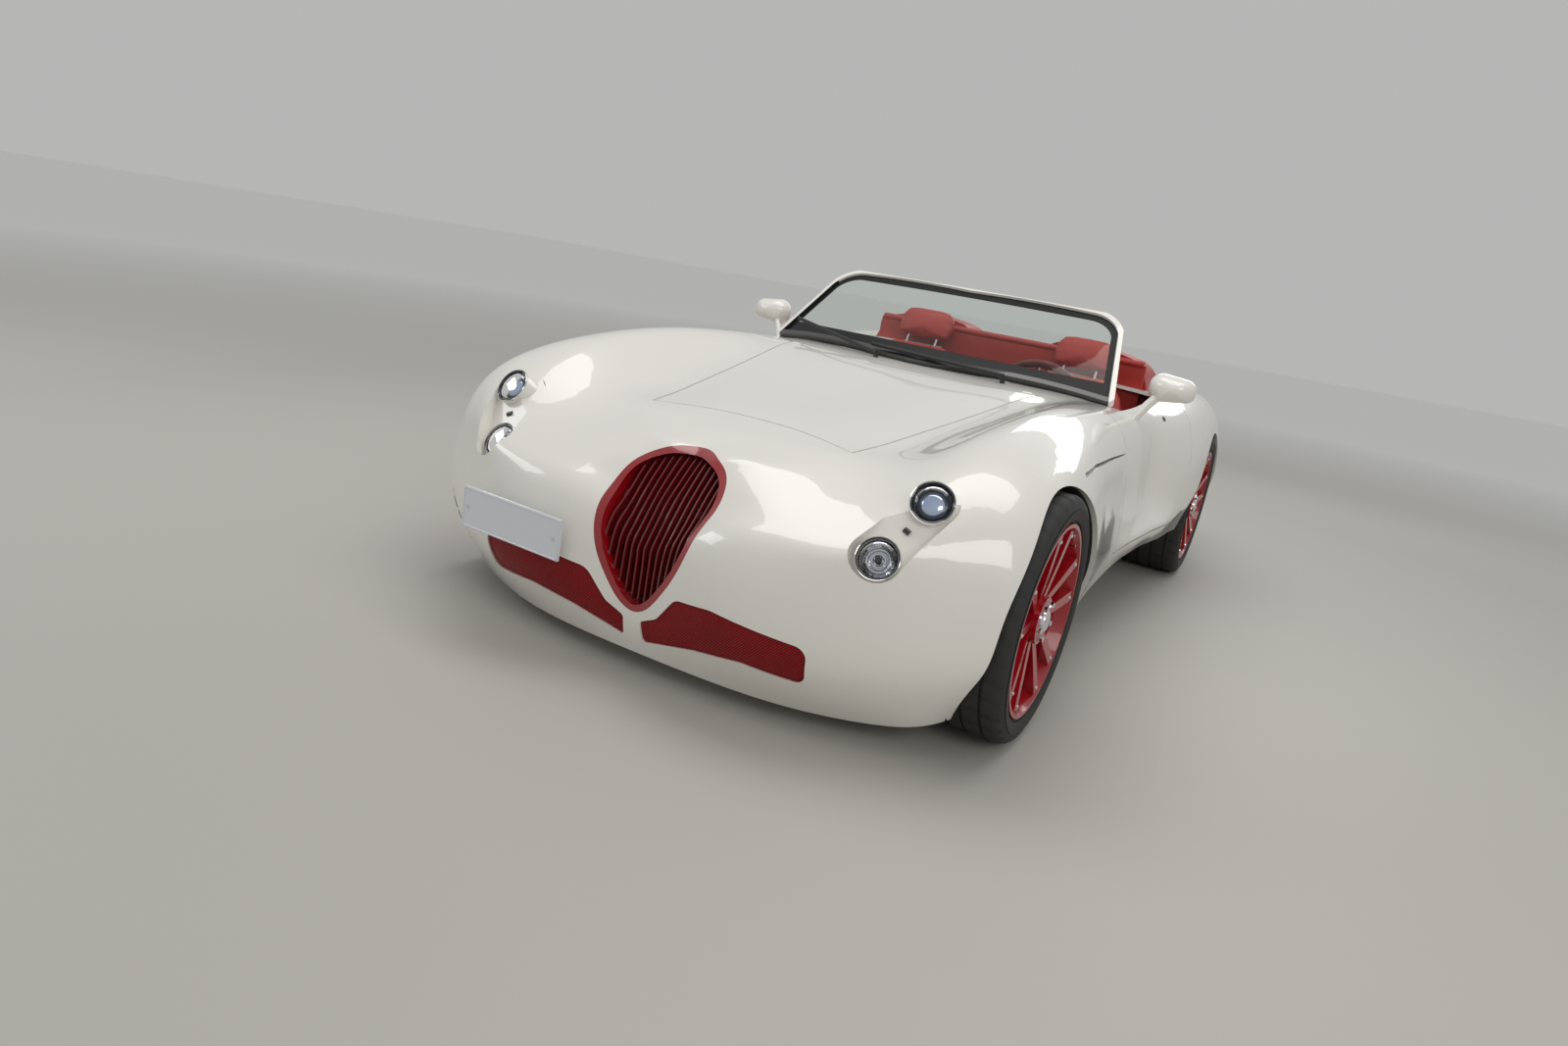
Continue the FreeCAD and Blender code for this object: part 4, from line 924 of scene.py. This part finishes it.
rails = [
    soft_block(by_seat(x, -0.148, 0.1745), by_seat(x + 0.04, 0.29, 0.236), 0.006, 3)
    for x in (-0.185, 0.145)]
pan = soft_block(by_seat(-0.195, -0.15, 0.228), by_seat(0.195, 0.29, 0.244), 0.006, 4)
posts = [drawn([by_seat(x, 0.440, 0.815), by_seat(x, 0.478, 0.900)], 0.006) for x in (-0.07, 0.07)]
piping = []
for x in (-0.150, 0.150):
    line = [
        BACK_FOOT + BACK_LEAN * t + BACK_FACE * (d / 2 + 0.004) + Vector((x, 0, 0))
        for t, d in ((0.05, 0.094), (0.15, 0.100), (0.25, 0.099), (0.35, 0.095), (0.44, 0.082))]
    piping.append(drawn(curve_through(line, 6), 0.0028))
piece("seat_rails", both(joined(rails + [pan])), BLACK_TRIM)
piece("seat_posts", both(joined(posts)), CHROME)
piece("seat_piping", both(joined(piping)), DARK_LEATHER)

# %% [markdown]
# ## Steering wheel
# The rim is a ring wrapped in leather, the spokes are flat polished metal and the boss is
# a padded cap. They are drawn flat, with the wheel's axis upwards, and one matrix tilts
# them to the column.

# %% Steering wheel
WHEEL_CENTRE = Vector((0.370, -0.075, 0.722))
WHEEL_TILT = Matrix.Translation(WHEEL_CENTRE) @ Matrix.Rotation(math.radians(-(90 - 24)), 4, "X")
STEERING_RADIUS = 0.176


def tilted(shape):
    points, faces = shape
    return [WHEEL_TILT @ Vector(p) for p in points], faces


def circle(radius, steps=96):
    turns = [2 * math.pi * k / steps for k in range(steps)]
    return [(radius * math.cos(a), radius * math.sin(a), 0) for a in turns]


def spoke_shape(angle):
    turn = Matrix.Rotation(angle, 3, "Z")
    shapes = []
    for side in (-1, 1):
        line = [
            (0.030, side * 0.020, -0.010), (0.080, side * 0.015, -0.012), (0.125, side * 0.013, -0.007),
            (0.166, side * 0.017, 0.0)]
        shapes.append(drawn([turn @ Vector(p) for p in curve_through(line, 5)], 0.0075, False, 10, 0.45))
    return joined(shapes)


BOSS = [
    (-0.030, 0.044), (-0.004, 0.050), (0.006, 0.046), (0.0095, 0.036), (0.010, 0.028), (0.0085, 0.024),
    (0.0095, 0.012), (0.0098, 0.0)]
STEERING_PIECES = (
    ("rim", drawn(circle(STEERING_RADIUS), 0.0148, True, 20), DARK_LEATHER),
    ("seam", drawn(circle(0.1612), 0.0016, True, 6), RED_LEATHER),
    ("spokes", joined([spoke_shape(a) for a in (0.0, math.pi, -math.pi / 2)]), CHROME),
    ("boss", turned(BOSS, (0, 0, 0), (0, 0, 1), 48), RED_LEATHER))
for part_name, shape, material in STEERING_PIECES:
    made = piece("steering_" + part_name, tilted(shape), material, "steering_wheel")
    if part_name == "rim":
        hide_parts("steering_wheel")

# %% [markdown]
# ## Instruments and vents
# Round dials sit in the hood before the driver and along the middle of the dashboard.
# A dial is a turned bezel with a dark face set back in it, a ring of ticks and a pointer.
# Numbers are left out.

# %% Dials
DIAL_MARKS = 13
DIAL_SWEEP = math.radians(260)
POINTER_TURN = -2.0
HOOD_AXIS = Vector((0, 0.994, -0.110)).normalized()
DASH_AXIS = Vector((0, 0.904, 0.427)).normalized()


def dial(centre, radius, axis):
    """Returns bezel, face and markings of one dial that looks rearwards."""
    bezel = [
        (-0.004, radius), (0.004, radius), (0.0062, radius - 0.002), (0.0055, radius - 0.005),
        (-0.002, radius - 0.006)]
    face = [(0.0002, radius - 0.0045), (0.0002, 0.0)]
    side = Vector((1, 0, 0))
    up = side.cross(axis)
    marks = []
    for index in range(DIAL_MARKS):
        angle = DIAL_SWEEP * (index / (DIAL_MARKS - 1) - 0.5)
        out = side * math.sin(angle) + up * math.cos(angle)
        start = centre + axis * 0.0012 + out * (radius * 0.70)
        marks.append(drawn([start, start + out * radius * 0.12], 0.0009, False, 6))
    pointer = centre + axis * 0.002
    lean = (side * math.sin(POINTER_TURN) + up * math.cos(POINTER_TURN)) * radius
    marks.append(drawn([pointer - lean * 0.15, pointer + lean * 0.62], 0.0011, False, 6))
    return turned(bezel, centre, axis, 40), turned(face, centre, axis, 40), joined(marks)


HOOD_DIALS = [Vector((x, -0.2880, 0.736)) for x in (0.330, 0.410)]
MIDDLE_DIALS = [Vector((x, -0.2590, 0.7320)) for x in (-0.105, -0.035, 0.035, 0.105)]
made_dials = [dial(spot, 0.037, HOOD_AXIS) for spot in HOOD_DIALS]
made_dials += [dial(spot, 0.024, DASH_AXIS) for spot in MIDDLE_DIALS]
piece("dial_bezels", joined([d[0] for d in made_dials]), CHROME)
piece("dial_faces", joined([d[1] for d in made_dials]), GLOSS_BLACK)
piece("dial_marks", joined([d[2] for d in made_dials]), PLATE_PAINT)
print("dials:", len(made_dials))

# %% Vents and the glove box
def vent(centre, radius, axis):
    """Round air vent: a bezel and five level slats."""
    bezel = [
        (-0.004, radius), (0.004, radius), (0.006, radius - 0.002), (0.005, radius - 0.004),
        (-0.002, radius - 0.004)]
    up = Vector((1, 0, 0)).cross(axis)
    slats = []
    for row in range(-2, 3):
        height = row * radius * 0.34
        reach = math.sqrt(radius ** 2 - height ** 2) - 0.005
        middle = centre + up * height + axis * 0.001
        ends = [middle - Vector((reach, 0, 0)), middle + Vector((reach, 0, 0))]
        slats.append(drawn(ends, 0.0028, False, 8, 0.5))
    return turned(bezel, centre, axis, 40), joined(slats)


vents = [vent(Vector((x, -0.2590, 0.7320)), 0.031, DASH_AXIS) for x in (-0.585, 0.590)]
piece("vent_bezels", joined([v[0] for v in vents]), CHROME)
piece("vent_slats", joined([v[1] for v in vents]), GLOSS_BLACK)


def rounded(corners, inset=0.0, steps=8):
    """Closed outline from corners of (across, up, radius), drawn inwards by the inset."""
    line = []
    for index, (across, up, radius) in enumerate(corners):
        here = Vector((across, up))
        before = (Vector(corners[index - 1][:2]) - here).normalized()
        after = (Vector(corners[(index + 1) % len(corners)][:2]) - here).normalized()
        half = before.angle(after) / 2
        middle = here + (before + after).normalized() * (radius / math.sin(half))
        first = here + before * (radius / math.tan(half)) - middle
        last = here + after * (radius / math.tan(half)) - middle
        sweep = math.copysign(math.pi - 2 * half, first.x * last.y - first.y * last.x)
        for step in range(steps + 1):
            c, s = math.cos(sweep * step / steps), math.sin(sweep * step / steps)
            spoke = Vector((first.x * c - first.y * s, first.x * s + first.y * c))
            line.append(middle + spoke * (1 - inset / radius))
    return line


def slab(line, near, far, place):
    """Flat plate with an outline's shape. Place turns (across, up, depth) into a point."""
    return tube([place(p.x, p.y, depth) for depth in (near, far) for p in line], len(line))


LID = [(-0.60, 0.672, 0.02), (-0.20, 0.672, 0.02), (-0.20, 0.590, 0.02), (-0.60, 0.590, 0.02)]
lid_line = [first_hit("dashboard", (p.x, 0.2, p.y), (0, -1, 0))[0] for p in rounded(LID)]
piece("glove_box_line", drawn(lid_line, 0.0014, True, 6), DARK_LEATHER)
KNOB = [(-0.002, 0.009), (0.006, 0.0085), (0.008, 0.006), (0.008, 0.0)]
knob_spot = first_hit("dashboard", (-0.40, 0.2, 0.655), (0, -1, 0))[0]
piece("glove_box_knob", turned(KNOB, knob_spot, (0, 1, -0.6), 24), CHROME)
print("glove box line points:", len(lid_line))

# %% [markdown]
# ## Carpet, gear lever and handbrake
# The floor is carpeted from the tunnel to the sill. The gear lever comes out of a leather
# boot that narrows upwards, held by a bright ring, and the handbrake lies beside it. Behind
# the seats a leather panel with a rolled top closes the cabin.

# %% Floor and tunnel
LEVER = Vector((0, -0.09, 0.4288))
UPWARDS = (0, 0, 1)
BOOT = [
    (-0.002, 0.046), (0.004, 0.043), (0.010, 0.036), (0.016, 0.034), (0.024, 0.026), (0.030, 0.025),
    (0.040, 0.018), (0.052, 0.011)]
BOOT_RING = [(-0.002, 0.051), (0.003, 0.0505), (0.0045, 0.048), (0.003, 0.045), (-0.001, 0.0445)]
KNOB_CAP = [(-0.003, 0.0125), (0.0008, 0.0115), (0.0016, 0.008), (0.0018, 0.0)]
carpet_block = soft_block((0.128, -0.578, 0.1745), (0.688, 0.40, 0.182), 0.003, 4)
brake = [(0.047, 0.29, 0.425), (0.047, 0.22, 0.446), (0.047, 0.16, 0.458), (0.047, 0.06, 0.476)]
button = drawn([(0.047, 0.058, 0.4764), (0.047, 0.046, 0.4786)], 0.0055)
boot_ring = turned(BOOT_RING, LEVER, UPWARDS, 40)
knob_cap = turned(KNOB_CAP, (0, -0.09, 0.544), UPWARDS, 24)
piece("carpets", both(carpet_block), RED_CARPET)
piece("lever_boot", turned(BOOT, LEVER, UPWARDS, 40), DARK_LEATHER)
piece("lever_ring", joined([boot_ring, knob_cap, button]), CHROME)
piece("handbrake", drawn(curve_through(brake, 6), 0.0115, False, 16, 0.85), DARK_LEATHER)
bulkhead = [soft_block((-0.625, 0.530, 0.580), (0.625, 0.5565, 0.930), 0.012, 12)]
bulkhead.append(drawn([(-0.612, 0.5425, 0.928), (0.612, 0.5425, 0.928)], 0.0155, False, 16))
piece("bulkhead_trim", joined(bulkhead), RED_LEATHER)
print("tunnel and bulkhead trimmed")

# %% [markdown]
# ## Doors and mirrors
# A door's inner side has a leather card with an armrest, a bright pull and a round
# loudspeaker. On top of the shoulder sits a small round release button. Everything here
# rides on its door, so it swings with it. The mirror's shell is a smooth pod: the
# outline of its glass shrinks towards the front along a rounded curve.

# %% Door cards
def speaker(centre, axis):
    rim = [(-0.001, 0.076), (0.004, 0.075), (0.005, 0.071), (0.003, 0.067), (-0.001, 0.066)]
    mesh = [(0.001, 0.067), (0.0035, 0.050), (0.0045, 0.025), (0.005, 0.0)]
    return turned(rim, centre, axis, 48), turned(mesh, centre, axis, 48)


speaker_rim, speaker_mesh = speaker(Vector((0.7035, -0.38, 0.455)), Vector((-1, 0, 0)))
CARD_CORNERS = [
    (-0.540, 0.765, 0.02), (0.392, 0.765, 0.03), (0.392, 0.560, 0.11), (0.318, 0.362, 0.10),
    (-0.540, 0.362, 0.03)]
card_line = [Vector((0.7040, p.x, p.y)) for p in rounded(CARD_CORNERS, 0.001)]
card = slab(rounded(CARD_CORNERS), 0.7117, 0.7035, lambda along, up, depth: Vector((depth, along, up)))
fold = [(0.7035, -0.52, 0.548), (0.7035, 0.38, 0.548)]
card_piping = joined([drawn(card_line, 0.0032, True, 8), drawn(fold, 0.0022, False, 8)])
armrest = soft_block((0.660, -0.250, 0.560), (0.7050, 0.200, 0.602), 0.014, 8)
pull = [(0.702, -0.20, 0.655), (0.676, -0.17, 0.664), (0.674, -0.03, 0.668), (0.702, 0.0, 0.660)]
bright = joined([drawn(curve_through(pull, 8), 0.0055), speaker_rim])
release_spot, release_axis = first_hit("door_left", (1.2, 0.184, 0.95), (-0.4, 0, -0.193))
RELEASE = [
    (-0.002, 0.0110), (0.0014, 0.0108), (0.0020, 0.0098), (0.0008, 0.0088), (0.0014, 0.0080),
    (0.0019, 0.004), (0.002, 0.0)]
release_button = turned(RELEASE, release_spot, release_axis, 32)

# %% Mirror pods
MIRROR_CENTRE = Vector((0.838, 0, 0.882))
MIRROR_FACE_Y = -0.113
MIRROR_DEPTH = 0.076
MIRROR_CORNERS = [
    (MIRROR_CENTRE.x + across, MIRROR_CENTRE.z + up, radius) for across, up, radius in (
        (-0.082, 0.060, 0.048), (0.084, 0.043, 0.038), (0.084, -0.032, 0.032), (-0.078, -0.056, 0.044))]
STALK = [(0.806, -0.150, 0.855), (0.782, -0.166, 0.822), (0.762, -0.186, 0.786), (0.742, -0.203, 0.748)]


def mirror_pod():
    """Shell from its rear lip to its nose, and its stalk. Its last row is almost one point."""
    line = rounded(MIRROR_CORNERS)
    middle = sum(line, Vector((0, 0))) / len(line)
    rows = [(0.0, 0.965), (0.0025, 0.99)]
    for t in (0.08, 0.2, 0.34, 0.48, 0.62, 0.74, 0.84, 0.91, 0.96, 0.99, 1.0):
        rows.append((MIRROR_DEPTH * t, max((1 - t ** 2.3) ** 0.5, 0.002)))
    points = []
    for depth, share in rows:
        outline = [middle + (p - middle) * share for p in line]
        points += [Vector((p.x, MIRROR_FACE_Y - depth, p.y)) for p in outline]
    shell, faces = tube(points, len(line))
    return joined([(shell, faces[:-1]), drawn(curve_through(STALK, 6), 0.0175, False, 20, 0.62)])


mirror_plate = slab(
    rounded(MIRROR_CORNERS, 0.009), MIRROR_FACE_Y - 0.001, MIRROR_FACE_Y + 0.0012,
    lambda across, up, depth: Vector((across, depth, up)))
seal_line = [Vector((p.x, MIRROR_FACE_Y, p.y)) for p in rounded(MIRROR_CORNERS, 0.0075)]
mirror_seal = drawn(seal_line, 0.0024, True, 8)
DOOR_PIECES = (
    ("card", card, RED_LEATHER), ("card_piping", card_piping, DARK_LEATHER),
    ("armrest", armrest, DARK_LEATHER), ("pull", bright, CHROME), ("speaker", speaker_mesh, BLACK_TRIM),
    ("release", release_button, GLOSS_BLACK), ("mirror_pod", mirror_pod(), PAINT),
    ("mirror_plate", mirror_plate, MIRROR), ("mirror_seal", mirror_seal, BLACK_TRIM))
for part_name, shape, material in DOOR_PIECES:
    for side, own in (("left", shape), ("right", flipped(shape))):
        made = piece("door_%s_%s" % (part_name, side), own, material, "door_" + side)
        if part_name == "mirror_pod":
            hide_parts("mirror_" + side)
print("door pieces:", 2 * len(DOOR_PIECES))

# %% [markdown]
# ## Tail, plate and engine
# Nothing of the tail shows in the photograph. Two round lamps a side, with bright rings,
# are usual on such a car, so they are set on the red panels. The exhaust tips are dark
# inside. The front plate stays blank: it gets a thin raised edge and two screws.

# %% Tail lamps and exhaust tips
lamp_ring = [(-0.002, 0.0415), (0.003, 0.0410), (0.0048, 0.0385), (0.0035, 0.0355), (-0.001, 0.0345)]
lamp_dome = [(-0.002, 0.0350), (0.002, 0.0335), (0.0050, 0.0260), (0.0066, 0.0150), (0.0072, 0.0)]
tail_rings, tail_domes = [], []
for x in (0.392, 0.498):
    spot, normal = first_hit("tail_lamps", (x, 3.0, 0.61), (0, -1, 0))
    tail_rings.append(turned(lamp_ring, spot, normal, 48))
    tail_domes.append(turned(lamp_dome, spot, normal, 48))
piece("tail_lamp_rings", both(joined(tail_rings)), CHROME)
piece("tail_lamp_domes", both(joined(tail_domes)), RED_GLASS)
bore = [(0.0, 0.0342), (-0.160, 0.0338), (-0.176, 0.030), (-0.180, 0.0)]
bores = [turned(bore, (x, 2.083, 0.315), (0, 1, 0), 40) for x in (0.21, 0.30)]
piece("tip_insides", both(joined(bores)), BLACK_TRIM)
print("tail lamps:", 2 * len(tail_rings))

# %% Plate edge and engine covers
PLATE_TURN = Matrix.Translation((-0.371, -2.082, 0.324)) @ Matrix.Rotation(math.radians(-2), 4, "Z")
PLATE_FACE_Y = -0.0042
PLATE_HALF = (0.175, 0.054)
PLATE_CORNERS = [
    (x * PLATE_HALF[0], z * PLATE_HALF[1], 0.008) for x, z in ((-1, 1), (1, 1), (1, -1), (-1, -1))]
SCREW = [(-0.001, 0.0055), (0.0018, 0.0050), (0.0026, 0.0030), (0.0026, 0.0)]


def on_plate(x, z):
    return PLATE_TURN @ Vector((x, PLATE_FACE_Y, z))


edge_line = [on_plate(p.x, p.y) for p in rounded(PLATE_CORNERS, 0.0035)]
piece("plate_edge", drawn(edge_line, 0.0018, True, 8), PLATE_PAINT)
screws = [turned(SCREW, on_plate(x, 0), (0, -1, 0), 20) for x in (-0.155, 0.155)]
piece("plate_screws", joined(screws), CHROME)
covers = both(soft_block((0.055, -1.50, 0.596), (0.195, -1.215, 0.614), 0.007, 6))
FILLER = [(-0.004, 0.026), (0.010, 0.026), (0.0125, 0.023), (0.0125, 0.0)]
filler = turned(FILLER, (0, -1.30, 0.600), UPWARDS, 24)
piece("engine_covers", joined([covers, filler]), BLACK_TRIM)
print("plate and engine trimmed")

# %% [markdown]
# ## Floor, stage and light
# The floor is plain and pale, and so is what stands behind it. Large soft lamps overhead
# give the long highlights that show a body's curves. The camera stands where the
# photographer stood, worked out from the wheels and lamps in the picture.

# %% Stage
def stage_material(name, near, far):
    """Plain floor that pales with distance, so that it meets the background softly."""
    finish = Finish(name, roughness=0.55)
    x, y, z = finish.parts_of_place()
    away = step_over((x * x + y * y).maths("SQRT"), 4.0, 9.0)
    finish.feed("Base Color", finish.between(away + finish.noise(0.8) * 0.02, near, far))
    return finish.material


FLOOR_REACH = 60
floor_corners = [(x * FLOOR_REACH, y * FLOOR_REACH, 0) for x, y in ((-1, -1), (1, -1), (1, 1), (-1, 1))]
floor_mesh = bpy.data.meshes.new("floor")
floor_mesh.from_pydata(floor_corners, [], [(0, 1, 2, 3)])
floor = bpy.data.objects.new("floor", floor_mesh)
bpy.context.scene.collection.objects.link(floor)
give(floor, stage_material("floor_finish", (0.50, 0.49, 0.45, 1), (0.92, 0.92, 0.91, 1)))

world = bpy.data.worlds.new("studio")
bpy.context.scene.world = world
world.use_nodes = True
background = world.node_tree.nodes["Background"]
background.inputs["Color"].default_value = (0.90, 0.90, 0.895, 1)
background.inputs["Strength"].default_value = 0.52


# %% Lamps
WARM = (1.0, 0.985, 0.96)
COOL = (0.97, 0.985, 1.0)


def softbox(name, place, target, size, power, colour=(1, 1, 1)):
    data = bpy.data.lights.new(name, "AREA")
    data.shape = "RECTANGLE"
    data.size, data.size_y = size
    data.energy = power
    data.color = colour
    lamp_object = bpy.data.objects.new(name, data)
    bpy.context.scene.collection.objects.link(lamp_object)
    lamp_object.location = place
    lamp_object.rotation_mode = "QUATERNION"
    lamp_object.rotation_quaternion = (Vector(target) - Vector(place)).to_track_quat("-Z", "Y")


softbox("overhead", (0.0, -0.6, 4.6), (0, -0.2, 0.5), (4.6, 2.4), 80, WARM)
softbox("front_left", (4.2, -4.4, 3.2), (0.2, -0.8, 0.5), (2.6, 1.8), 50, WARM)
softbox("front_right", (-4.4, -3.2, 2.8), (-0.2, -0.6, 0.5), (2.6, 1.4), 30, COOL)
softbox("behind", (0.6, 4.8, 3.0), (0, 0.6, 0.6), (4.0, 1.4), 34)

# %% Camera
CAMERA_PLACE = Vector((1.38107, -3.94299, 1.06940))
CAMERA_RIGHT = Vector((0.85357, 0.49289, 0.16872))
CAMERA_UP = Vector((-0.26576, 0.13340, 0.95477))
camera_data = bpy.data.cameras.new("camera")
camera_data.lens = 22.897
camera_data.sensor_width = 36.0
camera = bpy.data.objects.new("camera", camera_data)
bpy.context.scene.collection.objects.link(camera)
columns = (CAMERA_RIGHT, CAMERA_UP, CAMERA_RIGHT.cross(CAMERA_UP))
camera.matrix_world = Matrix.Translation(CAMERA_PLACE) @ Matrix(columns).transposed().to_4x4()
bpy.context.scene.camera = camera
bpy.context.scene.view_settings.view_transform = "Standard"
